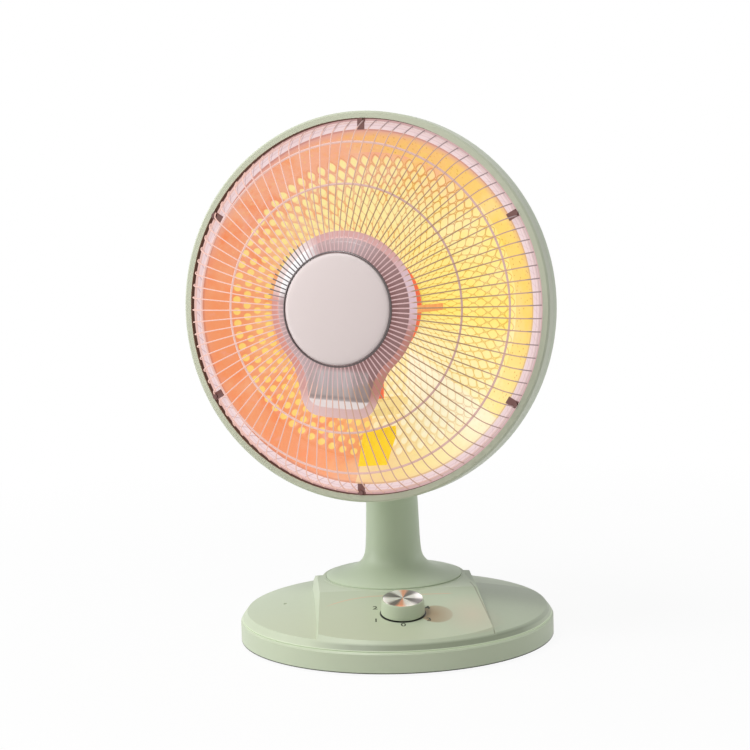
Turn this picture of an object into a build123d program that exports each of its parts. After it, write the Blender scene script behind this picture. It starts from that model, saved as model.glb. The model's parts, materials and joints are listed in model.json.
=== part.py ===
from build123d import *
import math
import os

# Desktop heater: a round base, a neck that swings on it, and a dish-shaped head with a wire guard.
# Millimetres. Origin at the middle of the base on the floor, front of the base towards -Y, up +Z.

# Clearances shared by many pieces
seam = 0.3                    # gap between neighbouring bodies
run_fit = 0.06                # radial clearance of a shaft in its bearing
hold_fit = 0.1                # gap of pieces that sit tight on each other
overrun = 2.0                 # how far a cutting shape runs past what it cuts

# Pose of the head when the object stands as pictured
swing_rest_angle = -24.45     # neck turned towards the viewer's left
tilt_rest_angle = 4.07        # head looks slightly upwards

# Base
base_radius = 131.6
base_wall = 2.4
skirt_bottom = 1.6
skirt_top = 18.5
skirt_round = 1.6
groove_width = 0.7
groove_depth = 1.0
skirt_step = 1.4              # the top of the base stands back from the skirt
bevel_width = 4.2
bevel_rise = 5.5
platform_height = 45.0
wing_drop = 6.5               # the crown of the domed wings lies this far under the platform
platform_half_width = 65.5
platform_front_half_width = 71.5
platform_flare = 5.5          # how far the platform's sides run out at their foot
platform_side_drop = 14.0
platform_front_height = 25.6
platform_front_edge_height = 22.6
platform_back_height = 26.0
platform_back_edge_height = 24.0
platform_flat_front = -26.0   # where the flat part under the neck starts to fall to the front
platform_flat_back = 36.0
platform_crown = 0.3
dimple_radius = 1.6
dimple_depth = 0.8
dimple_inset = 32.0           # from the edge of the domed wing
dimple_y = -3.0

# Neck and its turntable
neck_y = 30.0                 # swing axis, behind the middle of the base
disc_radius = 57.6
disc_thickness = 3.6
disc_recess = 4.0
seat_border = 3.9             # raised round seat that the turntable sinks into
seat_chamfer = 0.8
column_radius = 21.5
column_top = 120.0
column_wall = 2.4
spigot_wall = 11.0
spigot_foot_wall = 6.0
spigot_step_drop = 5.8        # below the floor of the recess
spigot_foot_length = 6.8
spigot_bore_radius = 9.0
bush_wall = 2.3
bush_flange = 8.0
bush_flange_thickness = 0.9
bush_depth = 5.6
# flare from the turntable's edge up to the column: radius and height as shares of their whole rise
flare_table_share = ((0.62, 0.042), (0.28, 0.145), (0.10, 0.36), (0.025, 0.66))

# Swing drive: a crank pin in the slot of an arm under the neck
crank_offset = 30.0           # from swing axis to motor shaft
crank_reach = 19.3            # from motor shaft to crank pin
crank_pin_radius = 2.5
crank_pin_proud = 1.4         # above the arm's upper face
crank_thickness = 3.4
crank_drop = 5.8              # from the arm's lower face to the crank's
crank_width = 12.0
crank_rest_angle = -67.0
slot_play = 1.2               # open pivot: the pin keeps this much room on each side
arm_thickness = 2.0
arm_width = 18.0
arm_rim = 4.0
nut_wall = 6.5
nut_thickness = 4.2
motor_radius = 24.0
motor_gap = 3.8               # between the motor's lid and the crank
motor_shaft_radius = 3.0
motor_ear_radius = 5.0

# Rotary switch and knob
knob_inset = 58.1             # from the front of the skirt
knob_radius = 17.8
knob_taper = 0.9
knob_height = 13.2
knob_gap = 0.7
knob_wall = 4.3
knob_cavity_depth = 5.0
knob_cap_thickness = 1.0
knob_cap_proud = 0.4
knob_cap_rim = 0.6
shaft_radius = 3.0
switch_width = 28.0
switch_depth = 14.0
switch_neck_wall = 1.74
switch_nut_wall = 3.2
switch_nut_thickness = 2.4
switch_neck_proud = 3.6
shaft_in_knob = 6.5

# Base plate and what stands on it
plate_gap = 0.8
plate_bottom = 2.4
plate_thickness = 1.2
foot_radius = 9.0
foot_inset = 24.4             # from the plate's edge
foot_count = 4
foot_start_angle = 45.0
post_inset = 14.6             # from the outside of the skirt
post_radius = 4.2
post_count = 6
post_start_angle = 30.0
screw_radius = 1.5
screw_head_radius = 3.0
screw_head_height = 1.4
plate_screw_length = 10.0
weight_inset = 7.0            # from the circle of the posts
weight_gap = 1.57             # beside the motor's ears
weight_height = 13.0
weight_span_angle = 96.0
plunger_radius = 4.0
plunger_length = 12.0
plunger_collar_width = 1.6
plunger_collar_height = 8.0
plunger_collar_thickness = 1.2
plunger_lift = 1.0
tip_box_width = 20.0
tip_box_depth = 14.0
tip_box_height = 14.0
terminal_width = 30.0
terminal_depth = 14.0
terminal_height = 12.0
terminal_x = -52.0
terminal_y = 12.0
inlet_height = 9.4
inlet_bore_radius = 3.4
inlet_wall = 1.4
inlet_lip = 0.9
inlet_lip_thickness = 1.2
inlet_lip_gap = 1.0           # behind the wall, clear of the skirt's rounded top

# Tilt hinge at the top of the neck
hinge_y = 12.0                # behind the swing axis
hinge_rise = 48.0             # above the top of the column
fork_half_width = 18.5
fork_slot_half_width = 9.3
fork_ear_radius = 11.0
fork_slot_depth = 22.0        # below the hinge
fork_front_inset = 3.5        # from the front of the column
fork_back_inset = 2.5
fork_plug_depth = 14.0
bolt_radius = 4.0
bolt_head_width = 3.0
bolt_head_thickness = 3.2
bolt_nut_thickness = 4.5
lug_front = 1.0
lug_rise = 49.0               # above the hinge
lug_back_reach = 10.5         # behind the hinge
lug_screw_radius = 2.0
lug_screw_length = 14.0
lug_screw_drop = 8.0          # below the top of the lug
lug_screw_spread = 5.0

# Head: measured from the plane of the front ring's face, depth counted backwards
ring_radius = 160.0
ring_band = 5.8
ring_face = 2.2
ring_wall = 2.2
ring_depth = 12.0
ring_round = 1.5
ring_lip_start = 4.0          # before the ring's back edge
ring_lip_reach = 6.0          # past the ring's back edge, into the housing
ring_lip_wall = 2.0
hinge_overlap = 47.5          # how far the housing's lower edge hangs below the hinge
shell_wall = 2.2
shell_straight = 8.0          # straight stretch behind the ring
shell_back_depth = 74.5
shell_back_radius = 46.0
shell_overhang = 15.1         # how far the housing reaches behind the swing axis
# middle of the housing's back curve: radius and depth as shares of the ring's radius and the whole depth
shell_mid_share = (0.756, 0.752)
vent_count = 24
vent_width = 3.4
vent_inset = 16.0             # outside the flat middle of the housing
vent_length = 30.0
shell_boss_radius = 2.8
shell_boss_gap = 1.5

flange_gap = 0.4              # behind the ring's face
flange_edge_gap = 0.6
flange_knee_inset = 0.8       # the flange's knee lies this far inside the ring's opening
flange_band = 8.4             # width of the sloping flange
flange_slope_drop = 2.0
dish_stand = 14.5             # between the dish's middle and the back of the housing
dish_flat_radius = 24.0
dish_sheet = 1.1
hammered_band = 21.0          # width of the outermost band of the dish
band_ridge = 0.6
centre_plate_radius = 34.0
centre_plate_thickness = 1.2
centre_plate_stand = 4.5
spacer_radius = 12.0
cutout_radius = 8.0
cutout_height = 7.0
cutout_place = 66.0

# Wire guard
guard_inset = 4.7             # inside the ring's opening
guard_rise = 52.6
guard_seat_gap = 0.23         # between the rim and the flange
wire_size = 1.5
wire_count = 90
wire_tuck = 6.9               # how far the wires run under the cap
rim_wire_radius = 1.3
ring_wire_radius = 1.1
# wire line from the cap to the rim: reach outwards and height above the rim, as shares of the whole
dome_table_share = ((0.014, 1.0), (0.271, 0.93), (0.530, 0.786), (0.710, 0.641), (0.857, 0.508), (0.918, 0.432),
                    (0.956, 0.312), (0.976, 0.15))
# the two rings lie at these bends of the wires, counted from the cap
middle_ring_count = 2
outer_ring_count = 4
cap_radius = 44.9
cap_rise = 3.4
cap_flat_radius = 1.5
cap_thickness = 1.2
cap_rim_gap = 0.3
cap_rim_width = 1.3
clamp_inset = 1.9
clamp_thickness = 1.4
clamp_hub_radius = 9.0
clip_count = 6
clip_start_angle = 30.0
clip_width = 6.0
clip_reach = 4.9              # from the rim inwards over the wires
clip_back_reach = 3.7         # from the rim outwards
clip_thickness = 1.0
clip_screw_gap = 1.6          # from the rim wire to the screw's middle
clip_screw_radius = 1.1
clip_head_width = 0.9
clip_head_height = 1.0
clip_screw_length = 14.0
tag_width = 28.2
tag_length = 31.8
tag_thickness = 0.8
tag_turn_angle = 13.5
# corners of the tag, across its width and down its length from the middle ring
tag_corner_share = ((-0.27, 0.0), (0.73, 0.0), (0.65, 0.25), (0.04, 1.0), (-0.81, 0.87))

# Heating tube, its holder and the mirror shield in front of it
tube_ring_radius = 42.0
tube_radius = 5.5
tube_wall = 1.0
tube_sides = 12
tube_depth = 14.0
leg_half_gap = 9.0
leg_bend_radius = 9.0
leg_drop = 38.0               # below the ring of the tube
filament_radius = 1.6
filament_sides = 6
tube_cap_wall = 2.5
tube_cap_length = 14.0
tube_cap_overlap = 5.0
holder_border = 3.0
holder_height = 20.0
holder_sheet = 1.2
shield_set_back = 12.2        # behind the front of the guard
shield_radius = 62.5
shield_drop = 23.5            # how far the neck of the pear reaches below its round
shield_bottom_half_width = 27.0
shield_waist_rise = 14.0
shield_waist_half_width = 33.0
shield_leave_angle = 42.0
shield_sheet = 0.8
shield_flange = 6.5
shield_pan_rise = 5.5
shield_pan_draft = 25.0
shield_leg_width = 5.6
shield_leg_sheet = 1.2
shield_leg_inset = 2.0
shield_leg_gap = 4.5          # beside the tube
shield_low_leg_gap = 4.0      # beside the holder
shield_low_leg_rise = 8.0

# Base sizes that follow from the ones above
bevel_foot_radius = base_radius - skirt_step
bevel_foot_height = skirt_top + groove_width + hold_fit * 2
bevel_top_radius = bevel_foot_radius - bevel_width
bevel_top_height = bevel_foot_height + bevel_rise
wing_crown = platform_height - wing_drop
dimple_x = dimple_inset - bevel_top_radius
knob_y = knob_inset - base_radius
platform_slope_angle = math.degrees(math.atan2(
    platform_height - platform_front_height, platform_flat_front + bevel_foot_radius))
knob_drop = (platform_flat_front - knob_y) * math.tan(math.radians(platform_slope_angle))
knob_seat_height = platform_height - knob_drop
knob_top_radius = knob_radius - knob_taper
knob_cavity_radius = knob_radius - knob_wall
switch_neck_radius = shaft_radius + run_fit + switch_neck_wall
switch_nut_radius = switch_neck_radius + switch_nut_wall
plate_top = plate_bottom + plate_thickness
plate_radius = base_radius - base_wall - plate_gap
foot_circle = plate_radius - foot_inset
post_circle = base_radius - post_inset
weight_outer_radius = post_circle - weight_inset
motor_ear_reach = motor_radius + motor_ear_radius
weight_inner_radius = math.hypot(crank_offset, neck_y) + motor_ear_reach + motor_ear_radius + weight_gap
plunger_collar_radius = plunger_radius + plunger_collar_width
inlet_bush_radius = inlet_bore_radius + inlet_wall

# Turntable and swing drive sizes that follow
seat_radius = disc_radius + seat_border
recess_floor = platform_height - disc_recess
disc_bottom = recess_floor + bush_flange_thickness + run_fit
disc_top = disc_bottom + disc_thickness
spigot_radius = spigot_bore_radius + spigot_wall
spigot_foot_radius = spigot_bore_radius + spigot_foot_wall
spigot_step_height = recess_floor - spigot_step_drop
spigot_bottom = spigot_step_height - spigot_foot_length
nut_radius = spigot_foot_radius + nut_wall
crank_pin_top = spigot_step_height + crank_pin_proud
crank_bottom = spigot_step_height - arm_thickness - crank_drop
motor_height = crank_bottom - motor_gap - plate_top

# Hinge and head sizes that follow
hinge_height = column_top + hinge_rise
fork_slot_bottom = hinge_height - fork_slot_depth
fork_front = fork_front_inset - column_radius
fork_back = column_radius - fork_back_inset
bolt_head_radius = bolt_radius + bolt_head_width
lug_top = hinge_height + lug_rise
lug_back = hinge_y + lug_back_reach
lug_screw_height = lug_top - lug_screw_drop
hub_height = hinge_height + ring_radius - hinge_overlap
ring_ahead = shell_back_depth - shell_overhang
ring_opening = ring_radius - ring_band
ring_lip_depth = ring_depth + ring_lip_reach
shell_front = ring_depth + seam
shell_side_depth = ring_depth + shell_straight
flange_depth = ring_face + flange_gap
flange_radius = ring_radius - ring_wall - flange_edge_gap
flange_knee_radius = ring_opening - flange_knee_inset
dish_radius = flange_knee_radius - flange_band
dish_rim_depth = flange_depth + flange_slope_drop
dish_depth = shell_back_depth - dish_stand
dish_curve = (dish_depth - dish_rim_depth) / dish_radius ** 2
shell_boss_front = flange_depth + dish_sheet + shell_boss_gap
guard_radius = ring_opening - guard_inset
flange_at_guard = dish_rim_depth - flange_slope_drop * (guard_radius - dish_radius) / flange_band
guard_rim_depth = flange_at_guard - rim_wire_radius - guard_seat_gap
rim_front = guard_rim_depth - rim_wire_radius
clip_front = rim_front - hold_fit - clip_thickness
clip_screw_circle = guard_radius + rim_wire_radius + clip_screw_gap
cap_rim_inner_radius = cap_radius + cap_rim_gap
cap_rim_radius = cap_rim_inner_radius + cap_rim_width
tube_cap_radius = tube_radius + tube_cap_wall
leg_bottom = tube_ring_radius + leg_drop
holder_half_width = leg_half_gap + tube_cap_radius + holder_border
shield_depth = guard_rise - guard_rim_depth - shield_set_back
shield_bottom = shield_radius + shield_drop
shield_waist_drop = shield_bottom - shield_waist_rise

# Where the neck and the head stand at rest
neck_place = Pos(0, neck_y, 0) * Rot(0, 0, swing_rest_angle)
head_on_neck = Pos(0, -ring_ahead, hub_height) * Rot(-tilt_rest_angle, 0, 0)
head_place = neck_place * head_on_neck
knob_place = Pos(0, knob_y, knob_seat_height) * Rot(platform_slope_angle, 0, 0)


def face_xz(*points):
    """Flat face from (x, z) points in the plane that looks along Y."""
    return make_face(Polyline(*[(x, 0, z) for x, z in points], close=True))


def face_xy(*points):
    return make_face(Polyline(*points, close=True))


def bounded(*curves):
    """Face inside a closed run of lines and curves."""
    return make_face(Wire([edge for curve in curves for edge in curve.edges()]))


def turned(*points):
    """Body turned about Z from (radius, height) points."""
    return revolve(face_xz(*points), Axis.Z)


def head_turned(*points):
    """Body turned about the head's own axis from (radius, depth) points."""
    return revolve(face_xy(*points), Axis.Y)


def rod(radius, bottom, top, x=0, y=0):
    """Upright cylinder between two heights."""
    return Pos(x, y, (bottom + top) / 2) * Cylinder(radius, top - bottom)


def tube(inner, outer, bottom, top):
    return turned((inner, bottom), (outer, bottom), (outer, top), (inner, top))


def head_rod(radius, front, back, x=0, z=0):
    """Cylinder along the head's axis between two depths."""
    return Pos(x, (front + back) / 2, z) * Rot(90, 0, 0) * Cylinder(radius, back - front)


def block(x0, x1, y0, y1, z0, z1):
    return Pos((x0 + x1) / 2, (y0 + y1) / 2, (z0 + z1) / 2) * Box(x1 - x0, y1 - y0, z1 - z0)


def around_z(item, count, start):
    return [Rot(0, 0, start + 360 * k / count) * item for k in range(count)]


def around_head(item, count, start=0.0):
    return [Rot(0, start + 360 * k / count, 0) * item for k in range(count)]


def group(items):
    """Separate solids kept side by side in one node."""
    return Compound([solid for item in items for solid in item.solids()])


# Base

def platform_section(y, top_half_width, middle, edge, drop):
    """One upright cross-section of the raised strip that runs from front to back."""
    foot_half_width = top_half_width + platform_flare
    return bounded(
        Line((-foot_half_width, y, edge - drop), (foot_half_width, y, edge - drop)),
        Line((foot_half_width, y, edge - drop), (top_half_width, y, edge)),
        ThreePointArc((top_half_width, y, edge), (0, y, middle), (-top_half_width, y, edge)),
        Line((-top_half_width, y, edge), (-foot_half_width, y, edge - drop)))


def platform_strip(wall):
    """The raised strip, its sides and top moved inwards by the wall."""
    half = platform_half_width - wall
    front_half = platform_front_half_width - wall
    flat = platform_height - wall
    reach = bevel_foot_radius
    sections = [
        platform_section(-reach, front_half, platform_front_height - wall,
                         platform_front_edge_height - wall, platform_side_drop),
        platform_section(platform_flat_front, half, flat, flat - platform_crown, platform_side_drop),
        platform_section(platform_flat_back, half, flat, flat - platform_crown, platform_side_drop),
        platform_section(reach, half, platform_back_height - wall,
                         platform_back_edge_height - wall, platform_side_drop),
    ]
    strip = loft(sections[0:2], ruled=True)
    strip += loft(sections[1:3], ruled=True)
    strip += loft(sections[2:4], ruled=True)
    return strip


def base_form(wall):
    """Outer form of the base with every surface moved inwards by the wall."""
    skirt_radius = base_radius - wall
    foot = bevel_foot_radius - wall
    foot_height = bevel_foot_height - wall
    rim = bevel_top_radius - wall
    rim_height = bevel_top_height - wall
    crown = wing_crown - wall
    mid_radius = rim / 2
    mid_height = crown - (crown - rim_height) / 4
    dome = bounded(
        Polyline((0, 0, crown), (0, 0, skirt_bottom), (foot, 0, skirt_bottom), (foot, 0, foot_height),
                 (rim, 0, rim_height)),
        ThreePointArc((rim, 0, rim_height), (mid_radius, 0, mid_height), (0, 0, crown)))
    form = revolve(dome, Axis.Z)
    bevel_run = (foot - rim) * (platform_height - foot_height) / (rim_height - foot_height)
    envelope = turned((0, skirt_bottom), (foot, skirt_bottom), (foot, foot_height),
                      (foot - bevel_run, platform_height), (0, platform_height))
    form += platform_strip(wall) & envelope
    seat = rod(seat_radius - wall, skirt_bottom, platform_height - wall, 0, neck_y)
    if wall == 0:
        seat = chamfer(seat.edges().group_by(Axis.Z)[-1], seat_chamfer)
    form += seat
    skirt_head = skirt_top - wall
    skirt = turned((0, skirt_bottom), (skirt_radius, skirt_bottom), (skirt_radius, skirt_head - skirt_round),
                   (skirt_radius - skirt_round, skirt_head), (0, skirt_head))
    return form + skirt


def base_shell():
    outside = base_form(0)
    shell = outside - base_form(base_wall)
    shell -= rod(base_radius - base_wall, 0, skirt_bottom + overrun)
    shell -= tube(bevel_foot_radius - groove_depth, base_radius, skirt_top, skirt_top + groove_width)
    post = rod(post_radius, plate_top, platform_height, post_circle)
    for item in around_z(post, post_count, post_start_angle):
        shell += item & outside
    screw_hole = rod(screw_radius + hold_fit, 0, plate_top + plate_screw_length, post_circle)
    for item in around_z(screw_hole, post_count, post_start_angle):
        shell -= item
    recess = rod(disc_radius + seam, recess_floor, platform_height + overrun, 0, neck_y)
    floor_ring = rod(seat_radius, recess_floor - base_wall, recess_floor, 0, neck_y)
    shell += floor_ring
    shell -= recess
    shell -= rod(spigot_radius + run_fit + bush_wall + hold_fit, 0, platform_height, 0, neck_y)
    shell -= knob_place * rod(switch_neck_radius + hold_fit, -switch_depth, overrun)
    shell -= Pos(0, base_radius, inlet_height) * Rot(90, 0, 0) * Cylinder(inlet_bush_radius + hold_fit,
                                                                         base_wall * 4)
    dimple_height = wing_crown - (wing_crown - bevel_top_height) * (dimple_x / bevel_top_radius) ** 2
    shell -= rod(dimple_radius, dimple_height - dimple_depth, platform_height, dimple_x, dimple_y)
    return shell


def base_plate():
    plate = rod(plate_radius, plate_bottom, plate_top)
    screw_hole = rod(screw_radius + hold_fit, 0, platform_height, post_circle)
    for hole in around_z(screw_hole, post_count, post_start_angle):
        plate -= hole
    return plate - rod(plunger_radius + hold_fit, 0, platform_height)


def rubber_feet():
    foot = turned((0, 0), (foot_radius - seam, 0), (foot_radius, seam), (foot_radius, plate_bottom),
                  (0, plate_bottom))
    return group(around_z(Pos(foot_circle, 0, 0) * foot, foot_count, foot_start_angle))


def screw(radius, length, head_radius, head_height):
    """Screw with a domed head, head below and shank up from zero."""
    head = turned((0, 0), (head_radius, 0), (head_radius * 0.8, -head_height * 0.8),
                  (head_radius * 0.4, -head_height), (0, -head_height))
    return head + rod(radius, 0, length)


def plate_screws():
    item = screw(screw_radius, plate_screw_length, screw_head_radius, screw_head_height)
    return group(around_z(Pos(post_circle, 0, plate_bottom) * item, post_count, post_start_angle))


def counterweight():
    """Cast segment at the back of the base."""
    ring = tube(weight_inner_radius, weight_outer_radius, plate_top, plate_top + weight_height)
    half = math.radians(weight_span_angle / 2)
    reach = weight_outer_radius * 2
    wedge = extrude(make_face(Polyline((0, 0, 0), (-reach * math.sin(half), reach * math.cos(half), 0),
                                       (reach * math.sin(half), reach * math.cos(half), 0), close=True)),
                    amount=platform_height)
    return ring & wedge


def cord_bush():
    """Grommet in the back of the skirt, through which the mains lead would come in."""
    inside = base_radius - base_wall - inlet_lip_thickness - inlet_lip_gap
    bush = face_xy((inlet_bore_radius, inside), (inlet_bush_radius + inlet_lip, inside),
                   (inlet_bush_radius + inlet_lip, inside + inlet_lip_thickness),
                   (inlet_bush_radius, inside + inlet_lip_thickness), (inlet_bush_radius, base_radius),
                   (inlet_bore_radius, base_radius))
    return Pos(0, 0, inlet_height) * revolve(bush, Axis.Y)


def terminal_block():
    body = block(terminal_x - terminal_width / 2, terminal_x + terminal_width / 2,
                 terminal_y - terminal_depth / 2, terminal_y + terminal_depth / 2,
                 plate_top, plate_top + terminal_height)
    pitch = terminal_width / 3
    for k in (-1, 0, 1):
        for side in (-1, 1):
            body -= rod(pitch / 4, plate_top + terminal_height / 2, plate_top + terminal_height + overrun,
                        terminal_x + k * pitch, terminal_y + side * terminal_depth / 4)
    return body


def swing_motor():
    """Flat synchronous motor with two fixing ears, standing on the base plate."""
    x = crank_offset
    top = plate_top + motor_height
    body = rod(motor_radius, plate_top, top, x, neck_y)
    for side in (-1, 1):
        y = neck_y + side * motor_ear_reach
        body += rod(motor_ear_radius, plate_top, plate_top + base_wall, x, y)
        body += block(x - motor_ear_radius, x + motor_ear_radius, min(y, neck_y), max(y, neck_y),
                      plate_top, plate_top + base_wall)
        body -= rod(screw_radius + hold_fit, plate_top, top + overrun, x, y)
    return body + rod(motor_shaft_radius * 2, top, top + overrun, x, neck_y)


def motor_screws():
    item = Rot(180, 0, 0) * screw(screw_radius, base_wall, screw_head_radius, screw_head_height)
    top = plate_top + base_wall
    return group([Pos(crank_offset, neck_y + side * motor_ear_reach, top) * item for side in (-1, 1)])


def swing_crank():
    """Crank on the motor shaft with its upright pin, turned to where the head's rest pose puts it."""
    top = crank_bottom + crank_thickness
    arm = rod(crank_width / 2, crank_bottom, top) + rod(crank_width / 2, crank_bottom, top, crank_reach)
    arm += block(0, crank_reach, -crank_width / 2, crank_width / 2, crank_bottom, top)
    arm += rod(crank_pin_radius, top, crank_pin_top, crank_reach)
    arm += rod(motor_shaft_radius, plate_top + motor_height + overrun + hold_fit, crank_bottom)
    return Pos(crank_offset, neck_y, 0) * Rot(0, 0, crank_rest_angle) * arm


def turntable_bush():
    """Plain flanged bearing that the neck turns in."""
    inner = spigot_radius + run_fit
    outer = inner + bush_wall
    top = recess_floor + bush_flange_thickness
    return Pos(0, neck_y, 0) * turned(
        (inner, recess_floor - bush_depth), (outer, recess_floor - bush_depth), (outer, recess_floor),
        (outer + bush_flange, recess_floor), (outer + bush_flange, top), (inner, top))


def rotary_switch():
    body = block(-switch_width / 2, switch_width / 2, -switch_width / 2, switch_width / 2,
                 -switch_depth - base_wall - seam, -base_wall - seam)
    body += rod(switch_neck_radius, -base_wall - seam, switch_neck_proud)
    body -= rod(shaft_radius + run_fit, -switch_depth, switch_neck_proud + overrun)
    return knob_place * body


def switch_nut():
    nut = extrude(RegularPolygon(switch_nut_radius, 6), amount=switch_nut_thickness)
    nut -= rod(switch_neck_radius + hold_fit, -overrun, switch_nut_thickness + overrun)
    return knob_place * Pos(0, 0, hold_fit) * nut


def tip_switch():
    """Housing of the tip-over switch, standing on the base plate over its plunger."""
    top = plate_top + tip_box_height
    body = block(-tip_box_width / 2, tip_box_width / 2, -tip_box_depth / 2, tip_box_depth / 2, plate_top, top)
    body -= rod(plunger_collar_radius + hold_fit, 0, plunger_length + plunger_lift + seam)
    return body


def tip_plunger():
    """Pin that the floor holds pressed in; its collar stops on the base plate when the heater tips."""
    collar_top = plunger_collar_height + plunger_collar_thickness
    return turned((0, 0), (plunger_radius, 0), (plunger_radius, plunger_collar_height),
                  (plunger_collar_radius, plunger_collar_height), (plunger_collar_radius, collar_top),
                  (plunger_radius, collar_top), (plunger_radius, plunger_length), (0, plunger_length))


# Knob

def knob():
    body = turned((0, knob_gap), (knob_radius, knob_gap), (knob_top_radius, knob_height), (0, knob_height))
    body = fillet(body.edges().group_by(Axis.Z)[-1], knob_cap_rim)
    cavity = switch_neck_proud + hold_fit + knob_cavity_depth - switch_nut_thickness
    body -= rod(knob_cavity_radius, 0, cavity)
    body -= rod(shaft_radius + hold_fit / 2, 0, switch_neck_proud + shaft_in_knob)
    body -= rod(knob_top_radius - knob_cap_rim * 2 + hold_fit, knob_height - knob_cap_thickness + knob_cap_proud,
                knob_height + overrun)
    return knob_place * body


def knob_cap():
    """Spun metal disc let into the top of the knob."""
    bottom = knob_height - knob_cap_thickness + knob_cap_proud
    radius = knob_top_radius - knob_cap_rim * 2
    disc = turned((0, bottom), (radius, bottom), (radius, bottom + knob_cap_thickness - knob_cap_proud / 2),
                  (radius - knob_cap_proud, bottom + knob_cap_thickness), (0, bottom + knob_cap_thickness))
    return knob_place * disc


def switch_shaft():
    return knob_place * rod(shaft_radius, -switch_depth + seam, switch_neck_proud + shaft_in_knob - seam)


# Neck

def neck_column():
    """Turntable disc, flare and column in one moulding, with the spigot that turns in the base."""
    edge = disc_top + seam
    rise = column_top - edge
    spread = disc_radius - seam * 2 - column_radius
    flare = [(column_radius + r * spread, 0, edge + h * rise) for r, h in flare_table_share]
    rim = (disc_radius - seam * 2, 0, edge)
    outline = bounded(
        Polyline((spigot_bore_radius, 0, disc_bottom), (disc_radius, 0, disc_bottom), (disc_radius, 0, disc_top),
                 rim),
        Spline(rim, *flare, (column_radius, 0, column_top), tangents=((-1, 0, 0.06), (0, 0, 1))),
        Polyline((column_radius, 0, column_top), (column_radius - column_wall, 0, column_top),
                 (column_radius - column_wall, 0, column_top - fork_plug_depth),
                 (spigot_bore_radius, 0, column_top - fork_plug_depth * 2), (spigot_bore_radius, 0, disc_bottom)))
    body = revolve(outline, Axis.Z)
    body += tube(spigot_bore_radius, spigot_radius, spigot_step_height, disc_bottom + seam)
    body += tube(spigot_bore_radius, spigot_foot_radius, spigot_bottom, spigot_step_height)
    return neck_place * body


def swing_arm():
    """Slotted arm under the turntable; the crank pin pushes it from side to side."""
    far = crank_offset + crank_reach
    near = crank_offset - crank_reach / 3
    half = crank_pin_radius + slot_play
    bottom = spigot_step_height - arm_thickness
    end = far + half + arm_rim
    arm = block(0, end - arm_width / 2, -arm_width / 2, arm_width / 2, bottom, spigot_step_height)
    arm += rod(arm_width / 2, bottom, spigot_step_height, end - arm_width / 2)
    arm += rod(spigot_radius + bush_wall, bottom, spigot_step_height)
    slot = block(near, far, -half, half, 0, platform_height)
    slot += rod(half, 0, platform_height, near) + rod(half, 0, platform_height, far)
    arm -= slot
    arm -= rod(spigot_foot_radius + hold_fit, 0, platform_height)
    return neck_place * arm


def turntable_nut():
    top = spigot_step_height - arm_thickness - hold_fit
    nut = extrude(Pos(0, 0, top - nut_thickness) * RegularPolygon(nut_radius, 6), amount=nut_thickness)
    return neck_place * (nut - rod(spigot_foot_radius + hold_fit, 0, platform_height))


def fork_side(z0, front, back):
    """Side view of the fork: straight foot on the column, leaning back to a round ear."""
    lean = math.atan2(hinge_y - front, hinge_height - z0)
    foot = make_face(Polyline((0, front, z0), (0, back, z0), (0, hinge_y + fork_ear_radius, hinge_height),
                              (0, hinge_y - fork_ear_radius * math.cos(lean),
                               hinge_height + fork_ear_radius * math.sin(lean)), close=True))
    return extrude(foot, amount=fork_half_width, both=True)


def tilt_fork():
    """Two ears that hold the head, with a round plug in the column's open top."""
    bottom = column_top + hold_fit
    body = fork_side(bottom, fork_front, fork_back)
    body += Pos(0, hinge_y, hinge_height) * Rot(0, 90, 0) * Cylinder(fork_ear_radius, fork_half_width * 2)
    body &= rod(column_radius * 1.6, bottom, hinge_height * 2, 0, hinge_y / 2)
    slot = block(-fork_slot_half_width, fork_slot_half_width, -column_radius * 2, column_radius * 2,
                 fork_slot_bottom, hinge_height * 2)
    body -= slot
    body += rod(column_radius - column_wall - hold_fit, column_top - fork_plug_depth + hold_fit, bottom)
    body -= Pos(0, hinge_y, hinge_height) * Rot(0, 90, 0) * Cylinder(bolt_radius + hold_fit, base_radius)
    return neck_place * body


def tilt_bolt():
    half = fork_half_width + hold_fit
    body = rod(bolt_radius, -half - bolt_nut_thickness - overrun, half)
    body += rod(bolt_head_radius, half, half + bolt_head_thickness)
    return neck_place * Pos(0, hinge_y, hinge_height) * Rot(0, 90, 0) * body


def tilt_nut():
    nut = extrude(RegularPolygon(bolt_head_radius, 6), amount=bolt_nut_thickness)
    nut -= rod(bolt_radius + hold_fit, -overrun, bolt_nut_thickness + overrun)
    side = -fork_half_width - hold_fit - bolt_nut_thickness
    return neck_place * Pos(0, hinge_y, hinge_height) * Rot(0, 90, 0) * Pos(0, 0, side) * nut


# Head housing

def shell_form(offset):
    """Solid form of the housing's back, its surface moved inwards by the offset."""
    side = ring_radius - offset
    back = shell_back_depth - offset
    inwards = offset * math.sqrt(0.5)
    middle = (ring_radius * shell_mid_share[0] - inwards, shell_back_depth * shell_mid_share[1] - inwards)
    outline = bounded(
        Polyline((shell_back_radius, back), (0, back), (0, shell_front), (side, shell_front),
                 (side, shell_side_depth)),
        ThreePointArc((side, shell_side_depth), middle, (shell_back_radius, back)))
    return revolve(outline, Axis.Y)


def lug_screw_places():
    return [Pos(side * lug_screw_spread, 0, lug_screw_height) for side in (-1, 1)]


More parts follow.
